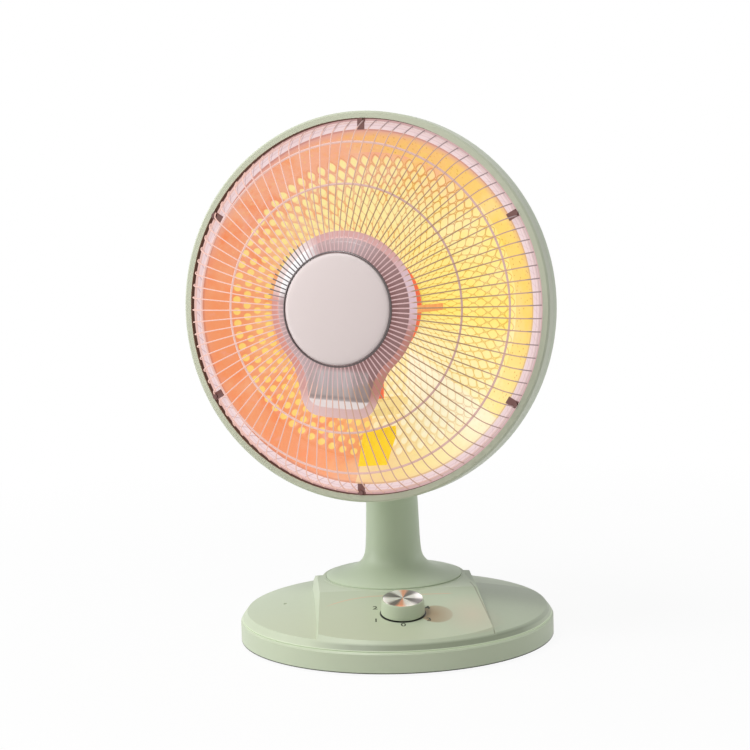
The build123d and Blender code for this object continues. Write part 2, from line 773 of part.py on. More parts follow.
def rear_shell():
    shell = shell_form(0) - shell_form(shell_wall)
    boss = head_rod(shell_boss_radius, shell_boss_front, shell_back_depth, clip_screw_circle)
    boss -= head_rod(ring_radius, 0, shell_boss_front)
    room = shell_form(0) + head_rod(ring_radius, 0, shell_front)
    for item in around_head(boss & room, clip_count, clip_start_angle):
        shell += item
    pilot = head_rod(clip_screw_radius + hold_fit / 2, 0, clip_screw_length + hold_fit, clip_screw_circle)
    for item in around_head(pilot, clip_count, clip_start_angle):
        shell -= item
    vent_inner_radius = shell_back_radius + vent_inset
    slot = block(vent_inner_radius, vent_inner_radius + vent_length, shell_back_depth / 2, shell_back_depth * 2,
                 -vent_width / 2, vent_width / 2)
    for item in around_head(slot, vent_count, 180.0 / vent_count):
        shell -= item
    hole = Rot(90, 0, 0) * Cylinder(lug_screw_radius + hold_fit, shell_back_depth)
    for place in lug_screw_places():
        shell -= head_on_neck.inverse() * place * hole
    return head_place * shell


def tilt_lug():
    """Lug on the back of the housing that turns between the fork's ears."""
    half = fork_slot_half_width - seam
    shoulder = hinge_height + fork_ear_radius * 2
    side = make_face(Polyline((0, hinge_y - fork_ear_radius, hinge_height), (0, lug_front - column_radius, shoulder),
                              (0, lug_front, lug_top), (0, lug_back, lug_top),
                              (0, hinge_y + fork_ear_radius - seam, hinge_height), close=True))
    body = extrude(side, amount=half, both=True)
    body += Pos(0, hinge_y, hinge_height) * Rot(0, 90, 0) * Cylinder(fork_ear_radius - seam, half * 2)
    body -= head_on_neck * shell_form(-hold_fit)
    body -= head_on_neck * head_turned((0, 0), (ring_radius, 0), (ring_radius, ring_depth + overrun),
                                       (0, ring_depth + overrun))
    body -= Pos(0, hinge_y, hinge_height) * Rot(0, 90, 0) * Cylinder(bolt_radius + run_fit, base_radius)
    for place in lug_screw_places():
        body -= place * Rot(90, 0, 0) * Cylinder(lug_screw_radius + hold_fit / 2, lug_top)
    return neck_place * body.solids().sort_by(Axis.Z)[0]


def front_ring():
    """Painted ring around the guard, with a lip that slips into the housing."""
    lip_outer = ring_radius - shell_wall - seam
    lip_start = ring_depth - ring_lip_start
    body = head_turned(
        (ring_opening, 0), (ring_radius - ring_round, 0), (ring_radius, ring_round), (ring_radius, ring_depth),
        (lip_outer, ring_depth), (lip_outer, ring_lip_depth), (lip_outer - ring_lip_wall, ring_lip_depth),
        (lip_outer - ring_lip_wall, lip_start), (ring_radius - ring_wall, lip_start),
        (ring_radius - ring_wall, ring_face), (ring_opening, ring_face))
    return head_place * body


# Reflector

def dish_surface(radius):
    """Depth of the dish at a radius: a parabola."""
    return dish_depth - dish_curve * radius ** 2


def parabola(inner, outer, shift):
    """Exact curve of the dish between two radii, as three control points."""
    return Bezier((inner, dish_surface(inner) + shift),
                  ((inner + outer) / 2, dish_depth - dish_curve * inner * outer + shift),
                  (outer, dish_surface(outer) + shift))


def reflector_dish():
    """Spun dish: flat middle, parabola, a raised bead where the outer band begins, sloping flange."""
    bead = dish_radius - hammered_band
    bead_depth = dish_surface(bead)
    centre = dish_surface(dish_flat_radius)
    outline = bounded(
        Line((0, centre), (dish_flat_radius, centre)),
        parabola(dish_flat_radius, bead - band_ridge, 0),
        Polyline((bead - band_ridge, dish_surface(bead - band_ridge)), (bead, bead_depth - band_ridge),
                 (bead + band_ridge, dish_surface(bead + band_ridge))),
        parabola(bead + band_ridge, dish_radius, 0),
        Polyline((dish_radius, dish_rim_depth), (flange_knee_radius, flange_depth), (flange_radius, flange_depth),
                 (flange_radius, flange_depth + dish_sheet), (flange_knee_radius, flange_depth + dish_sheet),
                 (dish_radius, dish_rim_depth + dish_sheet)),
        parabola(dish_flat_radius, dish_radius, dish_sheet),
        Polyline((dish_flat_radius, centre + dish_sheet), (0, centre + dish_sheet), (0, centre)))
    dish = revolve(outline, Axis.Y)
    hole = head_rod(clip_screw_radius + hold_fit, 0, dish_rim_depth * 2, clip_screw_circle)
    for item in around_head(hole, clip_count, clip_start_angle):
        dish -= item
    return head_place * dish


def centre_plate():
    """Round plate in the middle of the dish."""
    back = dish_surface(dish_flat_radius) - centre_plate_stand
    front = back - centre_plate_thickness
    body = head_turned((0, front), (centre_plate_radius - seam, front), (centre_plate_radius, front + seam),
                       (centre_plate_radius, back), (spacer_radius, back),
                       (spacer_radius, dish_surface(dish_flat_radius) - hold_fit),
                       (0, dish_surface(dish_flat_radius) - hold_fit))
    return head_place * body


def dish_spacer():
    """Spacer that carries the dish on the back of the housing."""
    front = dish_surface(dish_flat_radius) + dish_sheet + hold_fit
    return head_place * head_rod(spacer_radius, front, shell_back_depth - shell_wall - hold_fit)


def thermal_cutout():
    """Temperature limiter on the back of the dish."""
    front = dish_surface(cutout_place) + dish_sheet
    slope = math.degrees(math.atan(2 * dish_curve * cutout_place))
    shoulder = cutout_height - seam * 2
    body = rod(cutout_radius, seam, shoulder) + rod(cutout_radius / 2, shoulder, cutout_height)
    return head_place * Pos(0, front, cutout_place) * Rot(-90 + slope, 0, 0) * body


# Guard

def dome_point(bend):
    """Radius and depth of one bend of the wires."""
    reach, height = dome_table_share[bend]
    return cap_radius + (guard_radius - cap_radius) * reach, guard_rim_depth - guard_rise * height


def guard_wires():
    """Ninety wires from the cap to the rim; each bends down along the dome."""
    half = wire_size / 2
    top = guard_rim_depth - guard_rise
    knots = [(cap_radius - wire_tuck, top)] + [dome_point(bend) for bend in range(len(dome_table_share))]
    knots.append((guard_radius - rim_wire_radius - half - hold_fit, guard_rim_depth))
    outer, inner = [], []
    for k, (r, y) in enumerate(knots):
        before = knots[max(k - 1, 0)]
        after = knots[min(k + 1, len(knots) - 1)]
        run = math.hypot(after[0] - before[0], after[1] - before[1])
        across = ((after[1] - before[1]) / run * half, -(after[0] - before[0]) / run * half)
        outer.append((r + across[0], y + across[1]))
        inner.append((r - across[0], y - across[1]))
    wire = extrude(face_xy(*outer, *reversed(inner)), amount=half, both=True)
    return head_place * group(around_head(wire, wire_count))


def wire_ring(radius, depth, thickness):
    """Closed ring of round wire about the head's axis."""
    section = Pos(radius, depth) * RegularPolygon(thickness, 6)
    return revolve(section, Axis.Y)


def guard_rings():
    """Two rings on the inside of the wires."""
    rings = []
    for bend in (middle_ring_count, outer_ring_count):
        radius, depth = dome_point(bend)
        rings.append(wire_ring(radius - wire_size / 2, depth + wire_size / 2 + ring_wire_radius + hold_fit,
                               ring_wire_radius))
    return head_place * group(rings)


def guard_rim():
    return head_place * wire_ring(guard_radius, guard_rim_depth, rim_wire_radius)


def cap_seat():
    return guard_rim_depth - guard_rise - wire_size / 2 - hold_fit


def guard_cap():
    """Domed sheet cap in the middle of the guard."""
    seat = cap_seat()
    edge = seat - cap_thickness
    crown = edge - cap_rise
    face = bounded(
        Polyline((cap_flat_radius, crown), (0, crown), (0, seat), (cap_radius, seat), (cap_radius, edge)),
        ThreePointArc((cap_radius, edge), ((cap_radius + cap_flat_radius) / 2, edge - cap_rise * 0.75),
                      (cap_flat_radius, crown)))
    return head_place * revolve(face, Axis.Y)


def cap_rim():
    seat = cap_seat()
    return head_place * head_turned(
        (cap_rim_inner_radius, seat), (cap_rim_radius, seat), (cap_rim_radius, seat - cap_thickness),
        (cap_rim_inner_radius, seat - cap_thickness * 2 + seam))


def cap_clamp():
    """Disc behind the wires that clamps them against the cap."""
    front = guard_rim_depth - guard_rise + wire_size / 2 + hold_fit
    back = front + clamp_thickness
    radius = cap_radius - clamp_inset
    body = head_turned((0, front), (radius, front), (radius, back), (0, back))
    body += head_rod(clamp_hub_radius, cap_seat() + hold_fit, front)
    return head_place * body


def guard_clips():
    """Small plates that hold the rim on the flange."""
    outer = guard_radius + clip_back_reach
    clip = block(guard_radius - clip_reach, outer, clip_front, clip_front + clip_thickness,
                 -clip_width / 2, clip_width / 2)
    clip += block(guard_radius + rim_wire_radius + hold_fit, outer, clip_front, flange_depth - hold_fit,
                  -clip_width / 2, clip_width / 2)
    clip -= head_rod(clip_screw_radius + hold_fit, clip_front - overrun, flange_depth, clip_screw_circle)
    return head_place * group(around_head(clip, clip_count, clip_start_angle))


def clip_screws():
    item = head_rod(clip_screw_radius, clip_front, clip_screw_length, clip_screw_circle)
    item += head_rod(clip_screw_radius + clip_head_width, clip_front - clip_head_height, clip_front,
                     clip_screw_circle - seam)
    return head_place * group(around_head(item, clip_count, clip_start_angle))


def guard_tag():
    """Plain tag that hangs from the middle ring, behind the wires."""
    near = dome_point(middle_ring_count)
    far = dome_point(outer_ring_count)
    slope = math.atan2(far[1] - near[1], far[0] - near[0])
    corners = [(across * tag_width, -down * tag_length) for across, down in tag_corner_share]
    plate = extrude(face_xy(*corners), amount=-tag_thickness)
    behind = (wire_size / 2 + ring_wire_radius * 2 + hold_fit) / math.cos(slope)
    place = Rot(0, -tag_turn_angle, 0) * Pos(0, near[1] + behind, -near[0]) * Rot(90 + math.degrees(slope), 0, 0)
    return head_place * place * plate


# Heating tube and shield

def tube_path():
    """Open ring with two straight legs below, all joints tangent."""
    reach = tube_ring_radius + leg_bend_radius
    bend_x = leg_half_gap + leg_bend_radius
    bend_z = -math.sqrt(reach ** 2 - bend_x ** 2)
    shrink = tube_ring_radius / reach
    edges = []
    for side in (-1, 1):
        foot = (side * leg_half_gap, tube_depth, -leg_bottom)
        knee = (side * leg_half_gap, tube_depth, bend_z)
        join = (side * bend_x * shrink, tube_depth, bend_z * shrink)
        toward = ((knee[0] + join[0]) / 2 - side * bend_x, (knee[2] + join[2]) / 2 - bend_z)
        scale = leg_bend_radius / math.hypot(*toward)
        middle = (side * bend_x + toward[0] * scale, tube_depth, bend_z + toward[1] * scale)
        edges.append((Line(foot, knee), ThreePointArc(knee, middle, join), join))
    left, right = edges
    top = (0, tube_depth, tube_ring_radius)
    half_left = ThreePointArc(left[2], (-tube_ring_radius, tube_depth, 0), top)
    half_right = ThreePointArc(top, (tube_ring_radius, tube_depth, 0), right[2])
    return Wire([left[0], left[1], half_left, half_right, right[1], right[0]])


def swept_tube(radius, sides):
    foot = Plane((-leg_half_gap, tube_depth, -leg_bottom), x_dir=(1, 0, 0), z_dir=(0, 0, 1))
    return sweep(foot * RegularPolygon(radius, sides), path=tube_path())


def heating_tube():
    bore = swept_tube(tube_radius - tube_wall, tube_sides)
    return head_place * (swept_tube(tube_radius, tube_sides) - bore)


def heating_filament():
    return head_place * swept_tube(filament_radius, filament_sides)


def tube_caps():
    """Ceramic sockets on the two ends of the tube."""
    top = -leg_bottom + tube_cap_overlap
    caps = []
    for side in (-1, 1):
        body = rod(tube_cap_radius, top - tube_cap_length, top)
        body -= rod(tube_radius + hold_fit, -leg_bottom - hold_fit, top + overrun)
        caps.append(Pos(side * leg_half_gap, tube_depth, 0) * body)
    return head_place * group(caps)


def lamp_holder():
    """Bent sheet bracket on the dish that carries the two sockets."""
    low = -leg_bottom + tube_cap_overlap - tube_cap_length
    high = low + holder_height - tube_cap_overlap
    front = tube_depth + tube_cap_radius + hold_fit
    body = block(-holder_half_width, holder_half_width, front, front + holder_sheet, low, high)
    for side in (-1, 1):
        edge = side * holder_half_width
        body += block(min(edge, edge - side * holder_sheet), max(edge, edge - side * holder_sheet),
                      front, dish_depth, low, high)
    return head_place * (body & dish_space())


def shield_outline(inset):
    """Pear outline: a round that narrows into a short straight neck below."""
    radius = shield_radius - inset
    leave = math.radians(shield_leave_angle)
    leave_x = radius * math.cos(leave)
    leave_z = -radius * math.sin(leave)
    waist = shield_waist_half_width - inset
    bottom = shield_bottom - inset
    low = shield_bottom_half_width - inset
    return bounded(
        ThreePointArc((-leave_x, leave_z), (0, radius), (leave_x, leave_z)),
        Polyline((leave_x, leave_z), (waist, -shield_waist_drop), (low, -bottom), (-low, -bottom),
                 (-waist, -shield_waist_drop), (-leave_x, leave_z)))


def pear_shield():
    """Pressed mirror shield: flat flange around a raised pan."""
    front_plane = Plane((0, -shield_depth, 0), x_dir=(1, 0, 0), z_dir=(0, -1, 0))
    sheet = extrude(front_plane * shield_outline(0), amount=shield_sheet)
    pan = extrude(front_plane * shield_outline(shield_flange), amount=shield_pan_rise, taper=shield_pan_draft)
    hollow = extrude(front_plane * shield_outline(shield_flange + shield_sheet),
                     amount=shield_pan_rise - shield_sheet, taper=shield_pan_draft)
    return head_place * (sheet + pan - hollow)


def dish_space():
    """Room in front of the dish, which cuts the feet of what stands on it."""
    outline = bounded(
        Polyline((0, dish_depth - hold_fit), (0, -dish_depth), (dish_radius, -dish_depth),
                 (dish_radius, dish_rim_depth - hold_fit)),
        parabola(0, dish_radius, -hold_fit))
    return revolve(outline, Axis.Y)


def shield_legs():
    """Four strips that carry the shield on the dish."""
    front = -shield_depth + hold_fit
    half = shield_leg_width / 2
    legs = []
    low_leg_x = holder_half_width + shield_low_leg_gap
    low_leg_z = shield_low_leg_rise - shield_bottom
    for side in (-1, 1):
        top = side * (shield_radius - shield_leg_inset)
        foot = side * (tube_ring_radius + tube_radius + shield_leg_gap)
        strip = make_face(Polyline((top, front), (top - side * shield_leg_sheet, front),
                                   (foot - side * shield_leg_sheet, dish_depth), (foot, dish_depth), close=True))
        legs.append(extrude(strip, amount=half, both=True))
        low_leg = block(-shield_leg_sheet / 2, shield_leg_sheet / 2, front, dish_depth, -half, half)
        legs.append(Pos(side * (low_leg_x + shield_leg_sheet / 2), 0, low_leg_z) * low_leg)
    space = dish_space()
    return head_place * group([leg & space for leg in legs])


def lug_screws():
    """Two screws from inside the housing into the lug."""
    item = rod(lug_screw_radius, 0, lug_screw_length) + rod(lug_screw_radius * 2, -lug_screw_radius, 0)
    screws = []
    inner_form = head_on_neck * shell_form(shell_wall)
    for place in lug_screw_places():
        line = place * Rot(90, 0, 0) * Cylinder(lug_screw_radius, lug_top)
        inside = (line & inner_form).bounding_box().max.Y
        screws.append(Pos(0, inside - lug_screw_radius, 0) * place * Rot(-90, 0, 0) * item)
    return neck_place * group(screws)


PIECES = (base_shell, base_plate, rubber_feet, plate_screws, counterweight, cord_bush, terminal_block, swing_motor,
          motor_screws, turntable_bush, rotary_switch, switch_nut, tip_switch, tip_plunger, knob, knob_cap,
          switch_shaft, swing_crank, neck_column, swing_arm, turntable_nut, tilt_fork, tilt_bolt, tilt_nut,
          rear_shell, tilt_lug, lug_screws, front_ring, reflector_dish, centre_plate, dish_spacer, thermal_cutout,
          heating_tube, heating_filament, tube_caps, lamp_holder, pear_shield, shield_legs, guard_wires, guard_rings,
          guard_rim, guard_cap, cap_rim, cap_clamp, guard_clips, clip_screws, guard_tag)

os.makedirs("parts", exist_ok=True)
for piece in PIECES:
    export_step(piece(), "parts/" + piece.__name__ + ".step")
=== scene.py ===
import json
import math
import bpy
from mathutils import Matrix, Vector


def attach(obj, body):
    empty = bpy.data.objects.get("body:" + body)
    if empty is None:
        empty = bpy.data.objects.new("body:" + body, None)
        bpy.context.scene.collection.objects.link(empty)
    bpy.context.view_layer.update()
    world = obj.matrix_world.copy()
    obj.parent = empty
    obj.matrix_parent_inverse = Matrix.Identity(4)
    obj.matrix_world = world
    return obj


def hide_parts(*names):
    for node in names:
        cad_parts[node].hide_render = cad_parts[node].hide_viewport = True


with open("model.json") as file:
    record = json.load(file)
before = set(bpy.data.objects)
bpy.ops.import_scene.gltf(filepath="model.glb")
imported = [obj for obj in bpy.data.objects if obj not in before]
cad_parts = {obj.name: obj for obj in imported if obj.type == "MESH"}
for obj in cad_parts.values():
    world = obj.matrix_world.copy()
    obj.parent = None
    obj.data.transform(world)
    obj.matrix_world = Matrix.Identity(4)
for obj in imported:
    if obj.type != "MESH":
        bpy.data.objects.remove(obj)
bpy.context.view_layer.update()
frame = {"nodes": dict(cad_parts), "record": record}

# Dish heater: the looks of the pieces. The scene is in metres, Z up, front towards -Y; sections,
# radii and depths of pieces and patterns are in millimetres.

mm = 0.001
head_axis = (0, 1, 0)
upright = (0, 0, 1)
black = (0.0, 0.0, 0.0)

# Place of the head, as the frame has it
swing_axis_y = 0.030
swing_rest = math.radians(-24.45)
tilt_rest = math.radians(4.07)
ring_ahead = 0.0594
hub_height = 0.2805
neck_place = Matrix.Translation((0, swing_axis_y, 0)) @ Matrix.Rotation(swing_rest, 4, "Z")
head_place = (neck_place @ Matrix.Translation((0, -ring_ahead, hub_height))
              @ Matrix.Rotation(-tilt_rest, 4, "X"))

# Place of the knob on the slope of the platform
knob_middle = (0, -0.0735, 0.036156)
platform_slope = math.radians(10.547)
knob_place = Matrix.Translation(knob_middle) @ Matrix.Rotation(platform_slope, 4, "X")
base_place = Matrix.Identity(4)

# Camera of the photograph
camera_azimuth = math.radians(-3.249)
camera_elevation = math.radians(7.278)
camera_roll = math.radians(-1.542)
camera_distance = 1.7295
camera_target = Vector((-0.013276, 0, 0.221502))
camera_lens = 99.767
camera_sensor = 36
camera_reach = 50


# Shader helpers

class Value:
    """A shader socket that takes plain arithmetic."""

    def __init__(self, tree, socket):
        self.tree = tree
        self.socket = socket

    def math(self, operation, *others, clamp=False):
        node = self.tree.nodes.new("ShaderNodeMath")
        node.operation = operation
        node.use_clamp = clamp
        for place, item in zip(node.inputs, (self, *others)):
            connect(self.tree, place, item)
        return Value(self.tree, node.outputs[0])

    def clamped(self):
        return self.math("ADD", 0.0, clamp=True)

    def rise(self, start, slope):
        """0 up to the start, then climbing to 1."""
        return ((self - start) * slope).clamped()

    def fall(self, end, slope):
        """1, then dropping to 0 at the end."""
        return ((end - self) * slope).clamped()

    def ridge(self, middle, slope):
        """1 at the middle, dropping to 0 on both sides."""
        return (1 - abs(self - middle) * slope).clamped()

    def __add__(self, other):
        return self.math("ADD", other)

    def __sub__(self, other):
        return self.math("SUBTRACT", other)

    def __rsub__(self, other):
        return (self * -1).math("ADD", other)

    def __mul__(self, other):
        return self.math("MULTIPLY", other)

    def __truediv__(self, other):
        return self.math("DIVIDE", other)

    def __pow__(self, other):
        return self.math("POWER", other)

    def __abs__(self):
        return self.math("ABSOLUTE")

    def __gt__(self, other):
        return self.math("GREATER_THAN", other)

    def __lt__(self, other):
        return self.math("LESS_THAN", other)

    __radd__ = __add__
    __rmul__ = __mul__


def connect(tree, place, item):
    if isinstance(item, Value):
        tree.links.new(item.socket, place)
    else:
        place.default_value = item


class Finish:
    """A material built round one Principled shader."""

    def __init__(self, name, **constants):
        self.material = bpy.data.materials.new(name)
        self.material.use_nodes = True
        self.tree = self.material.node_tree
        self.shader = self.tree.nodes["Principled BSDF"]
        for socket, item in constants.items():
            self.set(socket.replace("_", " "), item)

    def set(self, socket, item):
        if isinstance(item, tuple) and len(item) == 3:
            item = (*item, 1)
        connect(self.tree, self.shader.inputs[socket], item)

    def node(self, kind, settings=(), out=0, **inputs):
        """One node of any kind: its settings first, then its sockets."""
        node = self.tree.nodes.new("ShaderNode" + kind)
        for name, item in dict(settings).items():
            setattr(node, name, item)
        for name, item in inputs.items():
            key = int(name[1:]) if name[1:].isdigit() else name.replace("_", " ")
            connect(self.tree, node.inputs[key], item)
        return Value(self.tree, node.outputs[out])

    def place(self):
        return self.node("TexCoord", out="Object")

    def shifted(self, *steps):
        """The place moved along, so that one noise differs from the next."""
        return self.node("VectorMath", {"operation": "ADD"}, i0=self.place(), i1=steps)

    def local(self, frame_place):
        """Coordinates in a piece's own frame: three numbers, in millimetres."""
        vector = self.node("Mapping", {"vector_type": "TEXTURE"}, Vector=self.place(),
                           Location=frame_place.to_translation(), Rotation=frame_place.to_euler())
        return [self.node("SeparateXYZ", out=axis, Vector=vector) * (1 / mm) for axis in "XYZ"]

    def length(self, **sides):
        return self.node("VectorMath", {"operation": "LENGTH"}, out=1,
                         i0=self.node("CombineXYZ", **sides))

    def polar(self, frame_place):
        """Coordinates on the head, distance from its axis, and the direction away from it."""
        x, y, z = self.local(frame_place)
        radius = self.length(X=x, Z=z)
        return x, y, z, radius, x / radius, z / radius

    def noise(self, scale, detail=2, roughness=0.5, vector=None):
        return self.node("TexNoise", Vector=vector or self.place(), Scale=scale, Detail=detail,
                         Roughness=roughness)

    def cells(self, scale):
        """Distance to the middle of the nearest cell."""
        return self.node("TexVoronoi", {"feature": "F1"}, out="Distance", Vector=self.place(),
                         Scale=scale)

    def mix(self, factor, first, second):
        first, second = ((*c, 1) if isinstance(c, tuple) and len(c) == 3 else c
                         for c in (first, second))
        return self.node("Mix", {"data_type": "RGBA"}, out=2, i0=factor, i6=first, i7=second)

    def layered(self, colour, *layers):
        """A colour with others laid over it in turn, each through its own mask."""
        for mask, over in layers:
            colour = self.mix(mask, colour, over)
        return colour

    def painted_shine(self, colour, shade):
        """Painted light: the colour is given as emission, so the piece lights up though it is no
        lamp; what the lamps see of it is shaded towards black.
        """
        self.set("Emission Color", colour)
        self.set("Base Color", self.mix(shade, colour, black))

    def bump(self, height, strength, distance):
        self.set("Normal", self.node("Bump", Height=height, Strength=strength, Distance=distance))


drift_scale = 14
drift_detail = 3
wear_scale = 220
wear_share = 0.10
grain_scale = 1600
grain_strength = 0.35


def grained(name, colour, dark, roughness, grain=0.12, **constants):
    """Moulded or painted surface: fine grain, and a faint drift of colour over the piece."""
    finish = Finish(name, **constants)
    finish.set("Base Color", finish.mix(finish.noise(drift_scale, drift_detail), dark, colour))
    finish.set("Roughness", finish.noise(wear_scale) * wear_share + (roughness - wear_share / 2))
    finish.bump(finish.noise(grain_scale, 3), grain_strength, grain * mm)
    return finish.material


def metal(name, colour, roughness):
    """Bare or plated metal with a slightly uneven shine."""
    finish = Finish(name, Metallic=1.0)
    duller = tuple(part * 0.9 for part in colour)
    finish.set("Base Color", finish.mix(finish.noise(30, 3), duller, colour))
    finish.set("Roughness", finish.noise(500, 3) * 0.12 + (roughness - 0.06))
    return finish.material


# Modelling helpers

def start_fresh():
    if bpy.context.object and bpy.context.object.mode != "OBJECT":
        bpy.ops.object.mode_set(mode="OBJECT")
    bpy.ops.object.select_all(action="DESELECT")
    bpy.context.tool_settings.mesh_select_mode = (True, False, False)


def drawn_line(name, points):
    """A line of edges, drawn from point to point."""
    start_fresh()
    bpy.ops.mesh.primitive_plane_add(size=mm)
    piece = bpy.context.object
    piece.name = name
    bpy.ops.object.mode_set(mode="EDIT")
    bpy.ops.mesh.merge(type="CENTER")
    bpy.ops.transform.translate(value=points[0])
    for before, after in zip(points, points[1:]):
        bpy.ops.mesh.extrude_region_move(TRANSFORM_OT_translate={"value": after - before})
    return piece


def cleaned(piece):
    bpy.ops.object.mode_set(mode="EDIT")
    bpy.ops.mesh.select_mode(type="VERT")
    bpy.ops.mesh.select_all(action="SELECT")
    bpy.ops.mesh.remove_doubles(threshold=0.005 * mm)
    bpy.ops.mesh.normals_make_consistent(inside=False)
    bpy.ops.object.mode_set(mode="OBJECT")
    return piece


def spun(name, section, steps, axis):
    """A section, given as radius and place along the axis, drawn and spun all the way round."""
    points = [(Vector((radius, 0, 0)) + Vector(axis) * along) * mm for radius, along in section]
    piece = drawn_line(name, points)
    bpy.ops.mesh.select_all(action="SELECT")
    bpy.ops.mesh.spin(steps=steps, angle=math.tau, center=(0, 0, 0), axis=axis)
    return cleaned(piece)


def bar(name, points, radius, sides):
    """Round bar bent along points of the plane x = 0; its section is extruded and turned."""
    start_fresh()
    runs = [(after - before).normalized() for before, after in zip(points, points[1:])]
    bpy.ops.mesh.primitive_circle_add(vertices=sides, radius=radius, fill_type="NGON")
    piece = bpy.context.object
    piece.name = name
    bpy.ops.object.mode_set(mode="EDIT")
    heading = math.pi / 2
    bpy.ops.transform.translate(value=points[0])
    for number, place in enumerate(points):
        both = runs[min(number, len(runs) - 1)] + runs[max(number - 1, 0)]
        wanted = math.atan2(both.z, both.y)
        if number:
            step = place - points[number - 1]
            bpy.ops.mesh.extrude_region_move(TRANSFORM_OT_translate={"value": step})
        bpy.ops.transform.rotate(value=heading - wanted, orient_axis="X", center_override=place)
        heading = wanted
    return cleaned(piece)


def choose(piece, kind, test):
    """Selects in edit mode the edges that pass a test on their ends, or the faces that pass
    one on their middle and normal."""
    bpy.ops.object.mode_set(mode="EDIT")
    bpy.ops.mesh.select_mode(type=kind)
    bpy.ops.mesh.select_all(action="DESELECT")
    bpy.ops.object.mode_set(mode="OBJECT")
    mesh = piece.data
    if kind == "FACE":
        for face in mesh.polygons:
            face.select = test(face.center, face.normal)
    else:
        for edge in mesh.edges:
            edge.select = test(*(mesh.vertices[end].co for end in edge.vertices))
    bpy.ops.object.mode_set(mode="EDIT")


def modified(piece, kind, **settings):
    start_fresh()
    bpy.context.view_layer.objects.active = piece
    piece.select_set(True)
    change = piece.modifiers.new(kind.lower(), kind)
    for name, item in settings.items():
        setattr(change, name, item)
    bpy.ops.object.modifier_apply(modifier=change.name)
    return piece


def copied(piece, place):
    twin = piece.copy()
    twin.data = piece.data.copy()
    twin.matrix_world = place
    bpy.context.scene.collection.objects.link(twin)
    return twin


def joined(piece, *others):
    start_fresh()
    for item in (piece, *others):
        item.select_set(True)
    bpy.context.view_layer.objects.active = piece
    bpy.ops.object.transform_apply(location=True, rotation=True, scale=True)
    bpy.ops.object.join()
    return piece


def around(piece, count, start):
    """The piece repeated round the head's axis, joined to one."""
    start_fresh()
    turns = [Matrix.Rotation(start + math.tau * k / count, 4, "Y") for k in range(count)]
    copies = [copied(piece, turn) for turn in turns[1:]]
    piece.matrix_world = turns[0]
    return joined(piece, *copies)


def settled(piece, place, body, slot, finish, *nodes, smooth=35):
    """Puts a finished piece in its place, with its finish and its body, and hides the nodes it
    stands for.
    """
    start_fresh()
    piece.matrix_world = place @ piece.matrix_world
    piece.select_set(True)
    bpy.context.view_layer.objects.active = piece
    bpy.ops.object.transform_apply(location=True, rotation=True, scale=True)
    bpy.ops.object.shade_smooth_by_angle(angle=math.radians(smooth))
    piece.data.materials.clear()
    piece.data.materials.append(finish)
    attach(piece, body)
    if nodes:
        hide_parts(*nodes)
    return piece


# Reflector dish: a spun sheet with twelve rows of pressed dents, staggered by half a dent

dish_radius = 145
dish_rim_depth = 4.6
dish_depth = 60
dish_sheet = 1.1
dish_centre = 24
dish_back = (120, 90, 60, dish_centre)
dent_count = 76
dent_rows_inner = 34
dent_row_width = 7.5
dent_row_count = 12
dent_rows_outer = dent_rows_inner + dent_row_width * dent_row_count
dent_border = 0.5
dent_depth = 1.2
# outside the rows, radius and drop of a rolled bead, and then of the plain border
dish_border = ((125.6, 0), (126.3, 0.5), (127.4, 0.5), (128.2, 0),
               (132, 0), (137, 0), (141, 0), (144.2, 0))
flange_section = (
    (145.2, 4.3), (145.9, 3.9), (148.2, 3.75), (148.5, 3.55), (151.2, 3.5), (151.7, 3.8),
    (153.3, 5.0), (153.8, 5.3), (153.95, 5.1), (154.0, 2.75), (154.15, 2.6), (156.9, 2.6),
    (157.2, 2.8), (157.2, 3.5), (156.9, 3.7), (155.0, 3.7), (154.9, 6.1), (145.0, 6.3))


def dish_surface(radius):
    return dish_depth - (dish_depth - dish_rim_depth) * (radius / dish_radius) ** 2


def reflector_piece():
    rows = [dent_rows_inner + dent_row_width * k for k in range(dent_row_count + 1)]
    front = [(0, dish_surface(dish_centre))]
    front += [(radius, dish_surface(radius)) for radius in (dish_centre, *rows)]
    front += [(radius, dish_surface(radius) - drop) for radius, drop in dish_border]
    back = [(radius, dish_surface(radius) + dish_sheet) for radius in dish_back]
    back += [(0, dish_surface(dish_centre) + dish_sheet)]
    section = (*front, *flange_section, *back)
    piece = spun("reflector_dish_pressed", section, dent_count * 2, head_axis)
    step = math.tau / (dent_count * 2)

    def inside_a_dent(one, other):
        middle = (one + other) / 2 / mm
        radius = math.hypot(middle.x, middle.z)
        if not dent_rows_inner < radius < dent_rows_outer:
            return False
        if middle.y > dish_surface(radius) + dish_sheet / 2:
            return False
        if abs(math.hypot(one.x, one.z) - math.hypot(other.x, other.z)) < mm:
            return False
        column = round(math.atan2(middle.z, middle.x) / step)
        return (column + int((radius - dent_rows_inner) / dent_row_width)) % 2 == 0

    def dent_face(centre, normal):
        radius = math.hypot(centre.x, centre.z) / mm
        return dent_rows_inner < radius < dent_rows_outer and normal.y < 0

    choose(piece, "EDGE", inside_a_dent)
    bpy.ops.mesh.dissolve_edges(use_verts=False)
    choose(piece, "FACE", dent_face)
    bpy.ops.mesh.inset(thickness=dent_border * mm, depth=0, use_individual=True)
    bpy.ops.mesh.poke(offset=-dent_depth * mm, use_relative_offset=False)
    return modified(cleaned(piece), "SUBSURF", levels=1, render_levels=1)


# Wire guard: ninety wires from the cap to the rim, two rings inside them

wire_radius = 0.5
wire_sides = 8
wire_phase = math.radians(0.8)
wire_count = 90
wire_bends = (
    (37.9, -50.6), (46.4, -50.6), (60.0, -49.2), (73.2, -46.9), (87.0, -43.6), (100.3, -39.3),
    (110.2, -35.3), (119.2, -31.1), (127.4, -27.4), (134.4, -23.7), (139.3, -20.6),
    (142.8, -17.3), (145.8, -12.8), (148.6, -7.4), (151.0, -2.0), (152.6, 2.2))
